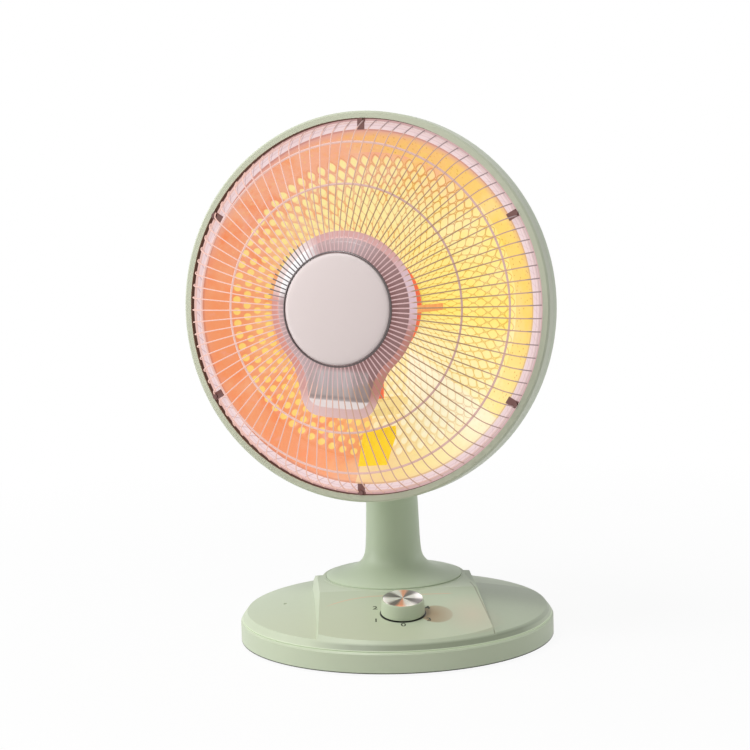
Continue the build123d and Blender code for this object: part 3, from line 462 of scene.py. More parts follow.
# radius, depth and thickness of the middle and the outer ring, and of the rim
guard_rings = ((99.7, -37.8, 0.9), (133.9, -21.5, 0.9))
guard_rim = (151.0, 2.3, 0.9)
ring_steps = 144
ring_sides = 10


def guard_piece():
    """One wire on a smooth curve through its bends, repeated round the axis."""
    spine = []
    last = len(wire_bends) - 1
    for number in range(last):
        corners = [wire_bends[min(max(number + k, 0), last)] for k in (-1, 0, 1, 2)]
        for s in (0, 0.5):
            weights = (-s + 2 * s ** 2 - s ** 3, 2 - 5 * s ** 2 + 3 * s ** 3,
                       s + 4 * s ** 2 - 3 * s ** 3, s ** 3 - s ** 2)
            reach, depth = (sum(w * c[k] for w, c in zip(weights, corners)) / 2 for k in (0, 1))
            spine.append(Vector((0, depth, reach)) * mm)
    spine.append(Vector((0, wire_bends[-1][1], wire_bends[-1][0])) * mm)
    wire = bar("guard_wires_round", spine, wire_radius * mm, wire_sides)
    return around(wire, wire_count, wire_phase)


def wire_ring(name, radius, depth, thickness):
    """Closed ring of round wire about the head's axis."""
    turns = [math.tau * k / ring_sides for k in range(ring_sides + 1)]
    section = [(radius + thickness * math.cos(turn), depth + thickness * math.sin(turn))
               for turn in turns]
    return spun(name, section, ring_steps, head_axis)


# Turned pieces: sections, as radius and place along the axis

round_steps = 128
knob_steps = 96
cap_section = ((0, -56.0), (15, -55.75), (28, -55.1), (38, -54.15), (41.6, -53.7), (43.2, -53.3),
               (44.3, -52.7), (44.9, -51.9), (44.9, -51.5), (0, -51.5))
cap_rim_section = ((45.2, -51.5), (45.2, -52.8), (45.5, -53.2), (46.0, -53.2), (46.4, -52.8),
                   (46.5, -52.3), (46.5, -51.5), (45.2, -51.5))
# turntable disc, a quick flat flare, then straight sides
column_section = (
    (0, 42.0), (57.6, 42.0), (57.6, 45.9), (57.1, 46.3), (50.0, 47.6), (43.0, 49.3), (37.0, 51.4),
    (32.5, 53.7), (29.3, 56.2), (27.0, 58.8), (25.4, 61.6), (24.3, 65.0), (23.6, 70.0),
    (23.0, 80.0), (22.5, 95.0), (22.1, 108.0), (21.5, 120.0), (0, 120.0))
knob_section = (
    (8.6, 8.4), (13.4, 8.4), (13.4, 0.8), (17.5, 0.8), (17.8, 1.1), (17.75, 4.0), (17.3, 9.0),
    (17.1, 12.2), (17.0, 12.9), (16.8, 13.15), (16.5, 13.2), (16.35, 13.0), (16.3, 12.2),
    (8.6, 12.2), (8.6, 8.4))
knob_cap_section = ((0, 13.5), (9, 13.5), (15.5, 13.45), (16.0, 13.3), (16.15, 12.9),
                    (16.15, 12.3), (0, 12.3))

# Pear shield

shield_front = -38.4
shield_turn = math.radians(3.2)
shield_sheet = 0.7
shield_place = head_place @ Matrix.Rotation(shield_turn, 4, "Y")
# the round part, in degrees from the top, and where the neck starts
shield_round = range(0, 130, 4)
# loops of the pressed pan from the outline inwards: radius of the round, rise, and the points of
# the neck's right half
shield_loops = (
    (62.5, 0.0, (
        (46.8, -41.2), (43.2, -45.3), (40.2, -50.0), (37.7, -55.8), (35.7, -62.0), (34.1, -68.5),
        (32.3, -74.5), (29.7, -80.2), (25.7, -84.6), (20.0, -87.0), (10.0, -87.9))),
    (57.8, 0.0, (
        (42.3, -39.3), (37.9, -43.8), (34.0, -49.2), (31.4, -55.6), (29.7, -62.0), (28.6, -68.1),
        (27.5, -73.0), (25.4, -77.1), (21.9, -80.0), (16.5, -81.3), (8.4, -81.7))),
    (56.8, 0.4, (
        (41.4, -39.0), (36.9, -43.4), (32.9, -49.0), (30.2, -55.5), (28.5, -62.0), (27.5, -68.0),
        (26.5, -72.5), (24.5, -76.2), (21.1, -78.9), (15.9, -80.1), (8.0, -80.5))),
    (54.2, 4.9, (
        (39.1, -37.3), (34.4, -41.8), (30.2, -47.7), (27.5, -54.6), (25.8, -61.5), (24.7, -66.8),
        (23.5, -70.1), (21.4, -72.6), (18.2, -74.2), (13.5, -74.9), (6.8, -75.1))),
    (53.2, 5.4, (
        (38.2, -36.7), (33.4, -41.2), (29.3, -47.2), (26.5, -54.2), (24.8, -61.3), (23.6, -66.3),
        (22.4, -69.1), (20.4, -71.3), (17.2, -72.7), (12.7, -73.3), (6.4, -73.5))),
    (48.0, 5.6, (
        (33.8, -34.0), (28.6, -38.6), (24.9, -45.0), (22.2, -53.0), (20.7, -60.4), (19.4, -64.4),
        (18.3, -66.2), (16.4, -67.3), (13.8, -68.0), (10.0, -68.3), (5.0, -68.4))))


def shield_loop(radius, rise, neck):
    turns = [math.radians(degrees) for degrees in shield_round]
    half = [(radius * math.sin(turn), radius * math.cos(turn)) for turn in turns]
    half += neck
    whole = half + [(0, neck[-1][1] - 0.1)] + [(-x, z) for x, z in reversed(half[1:])]
    return [Vector((x, shield_front - rise, z)) * mm for x, z in whole]


def rounded(corner):
    return tuple(round(c / mm, 2) for c in corner)


def shield_piece():
    """Outline and bends of the pressed pan: loops, bridged one to the next, closed, and given
    the thickness of their sheet."""
    loops = [shield_loop(*loop) for loop in shield_loops]
    lines = [drawn_line("pear_shield_pressed", loop + loop[:1]) for loop in loops]
    piece = cleaned(joined(*lines))
    places = [{rounded(corner) for corner in loop} for loop in loops]

    def choose_loops(*numbers):
        wanted = set().union(*(places[number] for number in numbers))
        choose(piece, "EDGE", lambda *ends: all(rounded(end) in wanted for end in ends))

    for number in range(len(loops) - 1):
        choose_loops(number, number + 1)
        bpy.ops.mesh.bridge_edge_loops()
    choose_loops(len(loops) - 1)
    bpy.ops.mesh.edge_face_add()
    bpy.ops.mesh.select_all(action="SELECT")
    bpy.ops.mesh.normals_make_consistent(inside=False)
    bpy.ops.object.mode_set(mode="OBJECT")
    piece.matrix_world = Matrix.Rotation(shield_turn, 4, "Y")
    return modified(piece, "SOLIDIFY", thickness=shield_sheet * mm, offset=-1.0)


# Numbers round the knob

number_places = (("2", -21.8, -61.4), ("1", -22.6, -85.0), ("0", -1.3, -95.8),
                 ("4", 20.7, -64.6), ("3", 19.9, -87.3))
number_size = 8.5
number_weight = 0.12
ink_thickness = 0.05
ink_lift = 0.06
above_shell = 0.2


def dial_numbers():
    """Printed numbers round the knob, laid on the platform."""
    shell = frame["nodes"]["base_shell"]
    numbers = []
    for body, x, y in number_places:
        start_fresh()
        bpy.ops.object.text_add()
        number = bpy.context.object
        number.data.body = body
        number.data.size = number_size * mm
        number.data.offset = number_weight * mm
        number.data.extrude = ink_thickness * mm
        number.data.align_x = "CENTER"
        number.data.align_y = "CENTER"
        bpy.ops.object.convert(target="MESH")
        overhead = Vector((x * mm, y * mm, above_shell))
        _, place, normal, _ = shell.ray_cast(overhead, Vector((0, 0, -1)))
        facing = normal.to_track_quat("Z", "Y").to_matrix().to_4x4()
        number.matrix_world = Matrix.Translation(place + normal * ink_lift * mm) @ facing
        numbers.append(number)
    piece = joined(*numbers)
    piece.name = "dial_numbers"
    return piece


# Finish of the dish: painted reflection of the lit tube, seen from the front

diamond_power = 1.35
flange_start = 145.3
band_inner = 127.0
band_outer = 144.5


class DishSpot:
    """A spot on the dish: its distance and direction from the axis, and the masks of where the
    painted reflection of the lit tube falls on it.
    """

    def __init__(self, finish):
        self.x, _, self.z, self.radius, self.across, self.upward = finish.polar(head_place)
        across, upward = self.across, self.upward
        self.around = self.z.math("ARCTAN2", self.x)
        self.above = (upward * 1.3 - 0.1).clamped()
        self.yellow = (across * 0.985 - upward * 0.17).rise(0.22, 1.8)
        self.golden = (across * 0.9 + upward * 0.1 + 0.45).clamped()
        self.pale = (across * 0.45 - upward * 0.89).rise(0.55, 2.2) * (across > -0.05)
        self.right = (across * 1.4 + 0.35).clamped()
        # painted sheen: a white reflection at the lower right of the dish
        below = (38 - self.x) * 0.482 - (self.z + 45) * 0.876
        self.sheen = (below * 0.6).clamped() * (1.25 - below * 0.02).clamped() * (self.x > 22)
        self.band = (self.radius > band_inner) * (self.radius < band_outer)


def painted_dish_reflection(finish, spot):
    """Painted reflection of the lit tube: salmon on the left and above, yellow on the right, white
    at the lower right.
    """
    inner = spot.radius.fall(118, 1 / 34)
    rim_colour = finish.mix(spot.above, (0.88, 0.315, 0.135), (0.92, 0.44, 0.27))
    rim_colour = finish.mix(spot.yellow, rim_colour, (0.98, 0.80, 0.25))
    inner_colour = finish.mix(spot.golden, (0.90, 0.50, 0.19), (0.98, 0.78, 0.19))
    inner_colour = finish.mix(spot.above * 0.85, inner_colour, (0.95, 0.80, 0.42))
    drift = finish.noise(46, 4, 0.65).rise(0.48, 5)
    haze = finish.noise(60, 3, 0.6, finish.shifted(5.0, 2.0, 7.0)).rise(0.56, 6)
    bloom = finish.noise(22, 3, 0.5, finish.shifted(3.0, 1.0, 2.0)).rise(0.54, 5)
    return finish.layered(
        finish.mix(inner, rim_colour, inner_colour),
        (spot.radius.fall(84, 0.05) * spot.yellow * 0.8, (0.97, 0.74, 0.12)),
        (drift * 0.75, finish.mix(spot.golden, (0.92, 0.25, 0.08), (0.99, 0.74, 0.09))),
        (haze * (1 - spot.golden) * 0.45, (0.84, 0.42, 0.40)),
        (bloom * (spot.right * 0.55 + 0.15), (0.99, 0.95, 0.66)),
        (spot.pale * 0.7, (0.98, 0.88, 0.44)),
        (spot.sheen * 0.6, (1.0, 0.97, 0.80)))


def diamond(aside, along):
    """Distance from the middle of a rounded diamond; 1 is its edge."""
    return ((aside ** diamond_power) + (along * 1.2) ** diamond_power) ** (1 / diamond_power)


def with_dents(finish, spot, painted_reflection):
    """Each dent is a rounded diamond; the one beside it in the next row fills the corners. Each
    dent gets a painted highlight, and painted shade along its edge that is strongest on the right
    and above.
    """
    outwards = (spot.radius - dent_rows_inner) * (1 / dent_row_width)
    row = outwards.math("FLOOR").math("MINIMUM", dent_row_count - 1)
    along = outwards - row
    turn = spot.around * (dent_count / math.tau)
    stagger = row.math("MODULO", 2) * 0.5
    beside = abs((turn + 0.5 + stagger).math("FRACT") - 0.5)
    in_rows = (spot.radius > dent_rows_inner) * (spot.radius < dent_rows_outer + 8)

    off_middle = abs(along - 0.5)
    own = diamond(beside * 2, off_middle)
    last_half_row = spot.radius > dent_rows_outer - dent_row_width * 0.5
    other = diamond(1 - beside * 2, (1 - off_middle).clamped()) + last_half_row * 3
    dent = own.math("MINIMUM", other)
    gap = spot.radius.rise(80, 1 / 40) * (0.24 - spot.right * 0.12) + 0.10
    facet = ((1 - gap - dent) * 7).clamped()
    lattice = (spot.across * 0.9 + spot.upward * 0.6 + 0.62).clamped()
    blob = (((beside * 1.15) ** 2 + (along - 0.66) ** 2) ** 0.5).fall(0.40, 9)
    # gleam: painted highlight in each dent, a whole facet on the right and above, a small blob on
    # the left
    gleam = facet * lattice + blob * (1 - lattice)
    gleam_share = 0.9 - spot.right * 0.3 + spot.sheen * 0.25
    lit = finish.layered(
        finish.mix(spot.golden, (0.97, 0.68, 0.17), (0.99, 0.89, 0.23)),
        (spot.above, (0.99, 0.89, 0.38)),
        (spot.pale * 0.8, (1.0, 0.99, 0.84)))
    # painted shade along the edge of each dent
    dent_edge_shade = (1 - abs(dent - 1 + gap * 0.55) * 8).clamped() * (lattice * 0.8 + 0.2)
    dent_edge_shade_share = in_rows * (0.15 + spot.right * 0.5 + spot.above * 0.3) * (1 - spot.pale * 0.15)
    return finish.layered(
        painted_reflection,
        (gleam * in_rows * gleam_share, lit),
        (dent_edge_shade * dent_edge_shade_share, finish.mix(spot.golden, (0.70, 0.23, 0.12), (0.62, 0.27, 0.05))))


def with_band(finish, spot, painted_reflection, blobs):
    """Hammered and pitted band round the dish, lit by painted reflection on the right and above,
    its pits painted darker as shade, and a painted shadow line along its edge.
    """
    pits = (1.3 - finish.cells(270) * 5).clamped()
    band_reflecting_side = (spot.across * 0.9 + spot.upward * 0.45).rise(0.28, 3)
    return finish.layered(
        painted_reflection,
        (blobs * (spot.above * 0.5 + 0.12),
         finish.mix(spot.golden, (0.93, 0.50, 0.24), (0.97, 0.62, 0.30))),
        (spot.band * band_reflecting_side * (1 - spot.pale) * 0.55, (0.94, 0.60, 0.10)),
        (pits * spot.band * band_reflecting_side * 0.75, (0.62, 0.30, 0.03)),
        # painted shadow along the dish's edge: mauve, then a dark line
        (spot.radius.rise(139.5, 0.2) * (spot.above * 0.7 + 0.15), (0.74, 0.38, 0.34)),
        (spot.radius.ridge(144.7, 0.9) * 0.5, (0.45, 0.17, 0.14)))


def flange_colour(finish, spot):
    """Pink rim of the dish, with painted reflections of the wires in it, painted darker strips, and
    a painted shadow in the gap at its outer edge.
    """
    fade = spot.right * 0.35
    turn = spot.around * (wire_count / math.tau) + (spot.radius - 146) * 0.11
    mirrored = abs(turn.math("FRACT") - 0.5)
    return finish.layered(
        finish.mix(finish.noise(26), (0.80, 0.60, 0.60), (0.92, 0.76, 0.78)),
        (spot.radius.ridge(148.35, 2.2) * 0.35, (0.55, 0.30, 0.30)),
        (spot.radius.rise(151.6, 1.5) * (0.8 - fade), (0.62, 0.30, 0.28)),
        (mirrored.rise(0.41, 14) * (0.5 - fade), (0.42, 0.26, 0.27)),
        (spot.radius.rise(153.4, 3), (0.06, 0.025, 0.012)))


def reflector_finish():
    finish = Finish("lit_reflector", Metallic=0.0, Emission_Strength=0.8, Specular_IOR_Level=0.4)
    spot = DishSpot(finish)
    blobs = (1.5 - finish.cells(210) * 4.5).clamped() * spot.band
    painted_reflection = with_band(finish, spot, with_dents(finish, spot, painted_dish_reflection(finish, spot)), blobs)
    on_flange = spot.radius > flange_start
    # the painted reflection is given as emission, so the dish lights up though it is no lamp
    finish.painted_shine(finish.mix(on_flange, painted_reflection, flange_colour(finish, spot)), 0.76)
    finish.set("Roughness", 0.38 - on_flange * 0.1)
    finish.bump(blobs * 0.7 + finish.noise(900) * 0.2, 0.5, 0.2 * mm)
    return finish.material


# Finishes of the other pieces, with the tube's light painted on them

def shield_gleam(across, upward):
    """Painted highlight: a bright streak at the upper left of the shield, which the wires cross."""
    return (upward * 0.56 - across * 0.83).rise(0.86, 11)


def shield_finish():
    """Mirror sheet with its reflections painted: pink flange, white painted highlight at the upper
    left, painted dark right side, grey neck with painted stripes and bands.
    """
    finish = Finish("mirror_pan", Metallic=0.0, Emission_Strength=0.72, Specular_IOR_Level=0.6)
    x, y, z, radius, across, upward = finish.polar(shield_place)
    low_right = ((across * 0.7 - upward * 0.7 - 0.1) * 1.4).clamped()
    low_left = (across * -0.8 - upward * 0.6).clamped() * ((z + 60) * 0.08).clamped()
    # flange: painted reflection, darker at the lower right, redder at the lower left, lighter at
    # the right and at the bottom
    flange = finish.layered(
        finish.mix(low_right, (0.70, 0.39, 0.37), (0.50, 0.21, 0.17)),
        ((across * 0.97 + upward * 0.26).rise(0.86, 8), (0.74, 0.56, 0.62)),
        (low_left, (0.70, 0.29, 0.23)),
        (z.fall(-66, 0.08) * (1 - low_right * 0.4), (0.80, 0.60, 0.59)))

    # painted glints round the axis at the upper left
    around_axis = finish.node("CombineXYZ", X=z.math("ARCTAN2", x) * 16)
    sparkle = finish.noise(1, 3, 0.6, around_axis).rise(0.55, 6)
    sparkle = sparkle * (upward * 0.8 - across * 0.6).rise(0.62, 4) * 0.75
    gleam = shield_gleam(across, upward).math("MAXIMUM", sparkle)
    # painted highlight streak across the pan; the pan painted darker on the right
    streak = (1 - abs(upward * 0.34 - across * 0.94 - 0.2) * 2.2).clamped() * 0.4
    pan = finish.mix((across * 0.9 - upward * 0.3 + 0.3).clamped(),
                     (0.50, 0.34, 0.34), (0.27, 0.145, 0.14))
    pan = finish.layered(pan, (streak, (0.60, 0.53, 0.55)), (gleam, (1.0, 0.99, 1.0)))

    # neck: painted reflection, darker downwards and on the right, with stripes, a dark line and a
    # light band at the bottom
    drop = -1 * z
    reflected_streaks = finish.noise(1, 3, 0.6, finish.node("CombineXYZ", X=x * 0.4))
    grey = finish.layered(
        finish.mix(drop.rise(50, 0.05), (0.60, 0.53, 0.53), (0.43, 0.375, 0.37)),
        (reflected_streaks.rise(0.42, 3.5) * 0.55, (0.28, 0.24, 0.235)),
        (x.rise(9, 0.12) * 0.65, (0.25, 0.17, 0.16)),
        (x.fall(-14, 0.12) * 0.5, (0.42, 0.28, 0.26)),
        (drop.ridge(71.0, 0.5) * 0.6, (0.24, 0.19, 0.18)),
        (drop.rise(72.8, 0.8), (0.80, 0.72, 0.71)))
    on_neck = z.fall(-47, 0.25) * abs(x).fall(27.5, 0.5)
    raised = (-1 * y).rise(38.75, 1.2)
    edge = finish.mix(gleam * 0.7, flange, (0.98, 0.92, 0.90))
    finish.painted_shine(finish.mix(raised, edge, finish.mix(on_neck, pan, grey)), 0.72)
    finish.set("Roughness", finish.noise(300) * 0.06 + 0.3)
    return finish.material


def wire_finish(name, pale, brown, at_rim):
    """Plated wire with painted light from the dish: pale on the left and near the cap, painted
    shade in a darker tone on the right and at the top's inner part, a painted reflection over the
    flange, and dark across the shield's painted highlight.
    """
    finish = Finish(name, Metallic=0.0, Emission_Strength=0.62, Specular_IOR_Level=0.3)
    _, _, _, radius, across, upward = finish.polar(head_place)
    above = upward.rise(0.35, 2) * radius.fall(106, 0.1) * (across + 0.75).clamped()
    dark = (across * 1.5 + 0.35).clamped().math("MAXIMUM", above)
    dark = dark * (1 - radius.rise(112, 0.04) * 0.45)
    over_flange = radius.rise(145.5, 0.5) * (across * 0.9 + upward * 0.5 + 0.3).clamped()
    colour = finish.layered(
        finish.mix(dark, pale, brown),
        (radius.fall(65, 0.3), (0.74, 0.50, 0.50)),
        (over_flange, at_rim),
        # dark where the wire crosses the shield's painted highlight
        (shield_gleam(across, upward) * (radius < 61.5), (0.13, 0.11, 0.11)))
    finish.painted_shine(colour, 0.65)
    finish.set("Roughness", finish.noise(400) * 0.1 + 0.35)
    return finish.material


def lit_steel_finish():
    """Steel and ceramic parts beside the tube, with its light painted on them: red near the middle,
    yellow further down.
    """
    finish = Finish("lit_steel", Metallic=0.0, Emission_Strength=0.72, Roughness=0.4)
    _, _, z = finish.local(head_place)
    mottled = finish.noise(160, 3)
    middle = finish.mix(mottled, (0.80, 0.20, 0.08), (0.93, 0.42, 0.16))
    low = finish.mix(mottled, (0.90, 0.62, 0.22), (0.96, 0.80, 0.36))
    finish.painted_shine(finish.mix(z.fall(-10, 0.1), middle, low), 0.75)
    return finish.material


# Finishes of the painted and moulded pieces

sage = (0.52, 0.585, 0.43)
sage_dark = (0.50, 0.565, 0.41)


def base_finish():
    """Sage shell with painted reflections of the lit dish: a warm oval, a pink haze and a thin
    line; painted shadow round the knob's foot and at the foot of the skirt, painted shade along the
    platform's right edge, on the right wing and on the bevel's front, and painted light in the
    groove."""
    finish = Finish("sage_shell")
    x, y, z = finish.local(base_place)
    radius = finish.length(X=x, Y=y)
    on_top = (z > 26.5) * (y < -20)

    # painted reflections of the lit dish on the platform: a warm oval, a pink haze and a thin
    # orange line
    oval = (((x - 26.9) * (1 / 13.3)) ** 2 + ((y + 77) * (1 / 16.2)) ** 2) ** 0.5
    oval_fade = (0.88 - oval * 0.22 - (x - 26.9) * 0.022).clamped()
    haze = ((x - 56) ** 2 + (y + 78) ** 2 * 0.5) ** 0.5
    arc = y + 38.2 + (x + 17).math("MINIMUM", 0.0) ** 2 * 0.0074
    along_line = ((x + 62) * 0.15).clamped() * (1 - x.rise(40, 0.2))
    # painted shadow round the knob's foot
    distance_from_knob = (x ** 2 + ((y + 73.5) * 1.017) ** 2) ** 0.5
    # painted shade along the platform's right edge and on the wing beyond it
    beside = x + y * 0.095
    side_line = (0.9 - abs(beside - 60.8)).clamped() * (y < -8) * (z > 24)
    # painted shade on the front of the bevel
    front = ((x + 78) * 0.03).clamped() * x.fall(120, 0.04) * (y < 0)
    bevel = radius.rise(126.2, 0.8) * (z > 19.6)
    finish.set("Base Color", finish.layered(
        finish.mix(finish.noise(drift_scale, drift_detail), sage_dark, sage),
        (oval_fade * oval.fall(1.04, 9) * on_top, (0.37, 0.25, 0.13)),
        ((1 - haze * 0.035).clamped() * 0.32 * on_top, (0.78, 0.52, 0.40)),
        ((1.2 - abs(arc)).clamped() * along_line * (z > 37) * 0.5, (0.78, 0.42, 0.24)),
        (distance_from_knob.fall(19.0, 2) * on_top, (0.03, 0.03, 0.025)),
        (side_line * 0.75, (0.17, 0.15, 0.09)),
        (beside.rise(61.5, 0.6) * (z > 22) * (y < 40) * 0.42, (0.30, 0.35, 0.25)),
        (bevel * front * 0.8, (0.20, 0.235, 0.155)),
        # painted shadow at the foot of the skirt
        (z.fall(2.6, 2), (0.03, 0.035, 0.025))))
    # painted light in the groove, lifting its shade
    groove = (radius > 128.0) * z.rise(18.0, 4) * z.fall(20.0, 4)
    finish.set("Emission Color", finish.mix(groove, black, (0.13, 0.15, 0.11)))
    finish.set("Emission Strength", 1.0)
    finish.set("Roughness", finish.noise(wear_scale) * wear_share + 0.37)
    finish.bump(finish.noise(grain_scale, 3), grain_strength, 0.12 * mm)
    return finish.material


def ring_paint():
    """Painted front ring: the wall of its opening is painted dark behind the lip, as shade."""
    finish = Finish("ring_paint")
    x, y, z = finish.local(head_place)
    # painted shade on the wall of the opening
    behind = y.rise(0.3, 2) * (finish.length(X=x, Z=z) < 154.8)
    paint = finish.mix(finish.noise(drift_scale, drift_detail), (0.52, 0.555, 0.42),
                       (0.54, 0.575, 0.44))
    finish.set("Base Color", finish.mix(behind, paint, (0.14, 0.09, 0.045)))
    finish.set("Roughness", finish.noise(wear_scale) * wear_share + 0.33)
    return finish.material


def brushed_disc_painted_gleam():
    """Radially brushed disc of the knob with painted reflections: sectors of painted highlight and
    shade, two of them warm reflections of the dish; the colour is also given as emission.
    """
    finish = Finish("brushed_disc_painted_gleam", Metallic=1.0, Emission_Strength=0.34)
    x, y, _ = finish.local(knob_place)
    turn = y.math("ARCTAN2", x)
    # painted highlight and shade in sectors round the disc
    sectors = (turn * 4.0 + 0.7).math("SINE") * 0.5 + 0.5
    fine = finish.noise(1, 4, 0.7, finish.node("CombineXYZ", X=turn * 26.0))
    colour = finish.layered(
        finish.mix((sectors * 1.5 - 0.25).clamped(), (0.10, 0.09, 0.09), (0.92, 0.88, 0.86)),
        *(((1.15 - abs(turn - warm) * 3.4).clamped(), (0.95, 0.36, 0.18))
          for warm in (1.45, -1.75)),
        (fine * 0.4, (0.70, 0.62, 0.60)))
    finish.set("Base Color", colour)
    finish.set("Emission Color", colour)
    finish.set("Roughness", fine * 0.2 + 0.2)
    return finish.material


sage_plastic = grained("sage_plastic", sage, sage_dark, 0.42)
sage_column = grained("sage_column", (0.535, 0.62, 0.45), (0.515, 0.60, 0.43), 0.42)
print_ink = grained("print_ink", (0.06, 0.07, 0.05), (0.05, 0.06, 0.04), 0.6)
clip_steel = metal("clip_steel", (0.22, 0.12, 0.11), 0.3)
rolled_steel = metal("dark_steel", (0.16, 0.14, 0.14), 0.35)
ring_wire = wire_finish("plated_ring", (0.90, 0.60, 0.54), (0.66, 0.42, 0.37), (0.86, 0.66, 0.65))
lit_steel = lit_steel_finish()

slot_finish = {
    "sage_plastic": sage_plastic,
    "sage_paint": grained("sage_paint", (0.52, 0.58, 0.43), (0.50, 0.56, 0.41), 0.36, 0.06),
    "steel_plate": grained("steel_plate", (0.05, 0.05, 0.05), (0.04, 0.04, 0.04), 0.5),
    "rubber": grained("rubber", (0.03, 0.03, 0.03), (0.02, 0.02, 0.02), 0.75),
    "cast_iron": grained("cast_iron", (0.06, 0.06, 0.06), (0.04, 0.04, 0.04), 0.7, 0.4),
    "black_plastic": grained("black_plastic", (0.02, 0.02, 0.02), (0.015, 0.015, 0.015), 0.45),
    "white_plastic": grained("white_plastic", (0.75, 0.75, 0.72), (0.7, 0.7, 0.67), 0.45),
    "ceramic": grained("ceramic", (0.78, 0.75, 0.70), (0.74, 0.70, 0.65), 0.4),
    "cap_paint": grained("cap_satin", (0.74, 0.645, 0.63), (0.725, 0.63, 0.615), 0.5, 0.03),
    # the tag's yellow is also given as emission: painted light, though it is no lamp
    "tag_yellow": grained("tag_yellow", (0.88, 0.62, 0.01), (0.85, 0.58, 0.01), 0.4,
                          Emission_Color=(0.90, 0.55, 0.01), Emission_Strength=0.45),
    "zinc_steel": metal("zinc_steel", (0.6, 0.6, 0.58), 0.35),
    "spun_metal": metal("spun_metal", (0.8, 0.78, 0.75), 0.25),
    "quartz": Finish("quartz", Base_Color=(0.5, 0.1, 0.05), Roughness=0.1,
                     Emission_Color=(0.62, 0.09, 0.04), Emission_Strength=0.8).material,
    "filament": Finish("filament", Base_Color=(0.9, 0.4, 0.1), Roughness=0.5,
                       Emission_Color=(1.0, 0.5, 0.1), Emission_Strength=4.0).material,
    "reflector": reflector_finish(),
    "chrome_wire": wire_finish("plated_wire", (0.90, 0.56, 0.48), (0.44, 0.27, 0.16),
                               (0.40, 0.29, 0.30)),
    "mirror_sheet": shield_finish(),
}
node_finish = {"guard_clips": clip_steel, "clip_screws": clip_steel, "shield_legs": lit_steel,
               "lamp_holder": lit_steel, "tube_caps": lit_steel, "front_ring": ring_paint(),
               "base_shell": base_finish()}
for part in frame["record"]["subparts"]:
    for place in frame["nodes"][part["node"]].material_slots:
        place.material = node_finish.get(part["node"], slot_finish[part["material_slot"]])

# Pieces that stand for nodes of the frame

bpy.ops.object.select_all(action="DESELECT")
for piece, slot, finish, node, smooth in (
        (reflector_piece(), "reflector", slot_finish["reflector"], "reflector_dish", 60),
        (guard_piece(), "chrome_wire", slot_finish["chrome_wire"], "guard_wires", 60),
        (joined(*(wire_ring("guard_rings_round", *ring) for ring in guard_rings)),
         "chrome_wire", ring_wire, "guard_rings", 60),
        (wire_ring("guard_rim_round", *guard_rim), "chrome_wire", ring_wire, "guard_rim", 60),
        (spun("guard_cap_domed", cap_section, round_steps, head_axis),
         "cap_paint", slot_finish["cap_paint"], "guard_cap", 50),
        (spun("cap_rim_rolled", cap_rim_section, round_steps, head_axis),
         "chrome_wire", rolled_steel, "cap_rim", 50),
        (shield_piece(), "mirror_sheet", slot_finish["mirror_sheet"], "pear_shield", 50)):
    settled(piece, head_place, "head", slot, finish, node, smooth=smooth)
settled(spun("neck_column_flared", column_section, round_steps, upright), neck_place, "neck",
        "sage_plastic", sage_column, "neck_column", smooth=50)
settled(spun("knob_moulded", knob_section, knob_steps, upright), knob_place, "knob",
        "sage_plastic", sage_plastic, "knob")
settled(spun("knob_cap_brushed", knob_cap_section, knob_steps, upright), knob_place, "knob",
        "spun_metal", brushed_disc_painted_gleam(), "knob_cap")
settled(dial_numbers(), base_place, "base", "black_plastic", print_ink, smooth=20)


# Room, lights and camera

white = (1, 1, 1, 1)
floor_size = 12
floor_level = -0.0003
floor_near = 0.25
floor_far = 0.9
floor_white_share = 0.93
ambient = 0.32
lamp_target = (0, 0, 0.2)


def white_when_seen(tree):
    """One where the camera, gloss or glass looks, else zero."""
    path = tree.nodes.new("ShaderNodeLightPath")
    seen = Value(tree, path.outputs["Is Camera Ray"])
    for kind in ("Is Glossy Ray", "Is Transmission Ray"):
        seen = seen.math("MAXIMUM", Value(tree, path.outputs[kind]))
    return seen


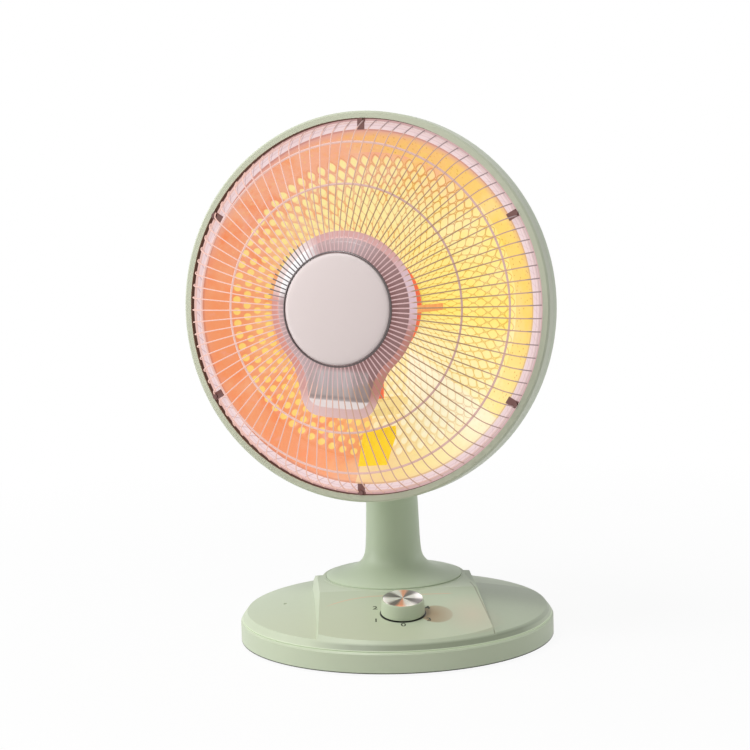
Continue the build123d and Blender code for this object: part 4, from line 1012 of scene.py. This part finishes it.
def floor_finish():
    """Pale floor, seen white; it keeps the object's shadow nearby and clears further off."""
    finish = Finish("floor_white", Roughness=0.9, Base_Color=(0.86, 0.86, 0.86))
    distance = finish.node("VectorMath", {"operation": "LENGTH"}, out=1, i0=finish.place())
    clear = distance.rise(floor_near, 1 / (floor_far - floor_near))
    clear = clear * (1 - floor_white_share) + floor_white_share
    mixed = finish.node("MixShader", i0=white_when_seen(finish.tree) * clear,
                        i1=Value(finish.tree, finish.shader.outputs[0]),
                        i2=finish.node("Emission", Color=white, Strength=1.0))
    surface = finish.tree.nodes["Material Output"].inputs["Surface"]
    finish.tree.links.new(mixed.socket, surface)
    return finish.material


def lamp(name, place, size, power):
    data = bpy.data.lights.new(name, "AREA")
    data.shape = "RECTANGLE"
    data.size, data.size_y = size
    data.energy = power
    item = bpy.data.objects.new(name, data)
    bpy.context.scene.collection.objects.link(item)
    item.location = place
    item.rotation_mode = "QUATERNION"
    item.rotation_quaternion = (Vector(lamp_target) - Vector(place)).to_track_quat("-Z", "Y")


bpy.ops.object.select_all(action="DESELECT")
bpy.ops.mesh.primitive_plane_add(size=floor_size, location=(0, 0, floor_level))
floor = bpy.context.object
floor.name = "floor"
floor.data.materials.append(floor_finish())

world = bpy.data.worlds.new("studio")
bpy.context.scene.world = world
world.use_nodes = True
sky = world.node_tree.nodes["Background"]
brightness = white_when_seen(world.node_tree) * (1 - ambient) + ambient
world.node_tree.links.new(brightness.socket, sky.inputs["Strength"])
sky.inputs["Color"].default_value = white

lamp("left_softbox", (-2.0, 0.2, 0.7), (1.0, 1.4), 18)
lamp("right_softbox", (2.0, 0.5, 0.5), (0.8, 1.0), 5)
lamp("top_softbox", (-0.85, -0.7, 1.85), (0.8, 0.8), 22)

view_data = bpy.data.cameras.new("camera")
view_data.lens = camera_lens
view_data.sensor_width = camera_sensor
view_data.clip_end = camera_reach
camera = bpy.data.objects.new("camera", view_data)
bpy.context.scene.collection.objects.link(camera)
level = math.cos(camera_elevation)
back = Vector((math.sin(camera_azimuth) * level, -math.cos(camera_azimuth) * level,
               math.sin(camera_elevation)))
camera.location = camera_target + back * camera_distance
camera.rotation_mode = "QUATERNION"
camera.rotation_quaternion = ((-back).to_track_quat("-Z", "Y")
                              @ Matrix.Rotation(camera_roll, 3, "Z").to_quaternion())
bpy.context.scene.camera = camera
bpy.context.scene.view_settings.view_transform = "Standard"
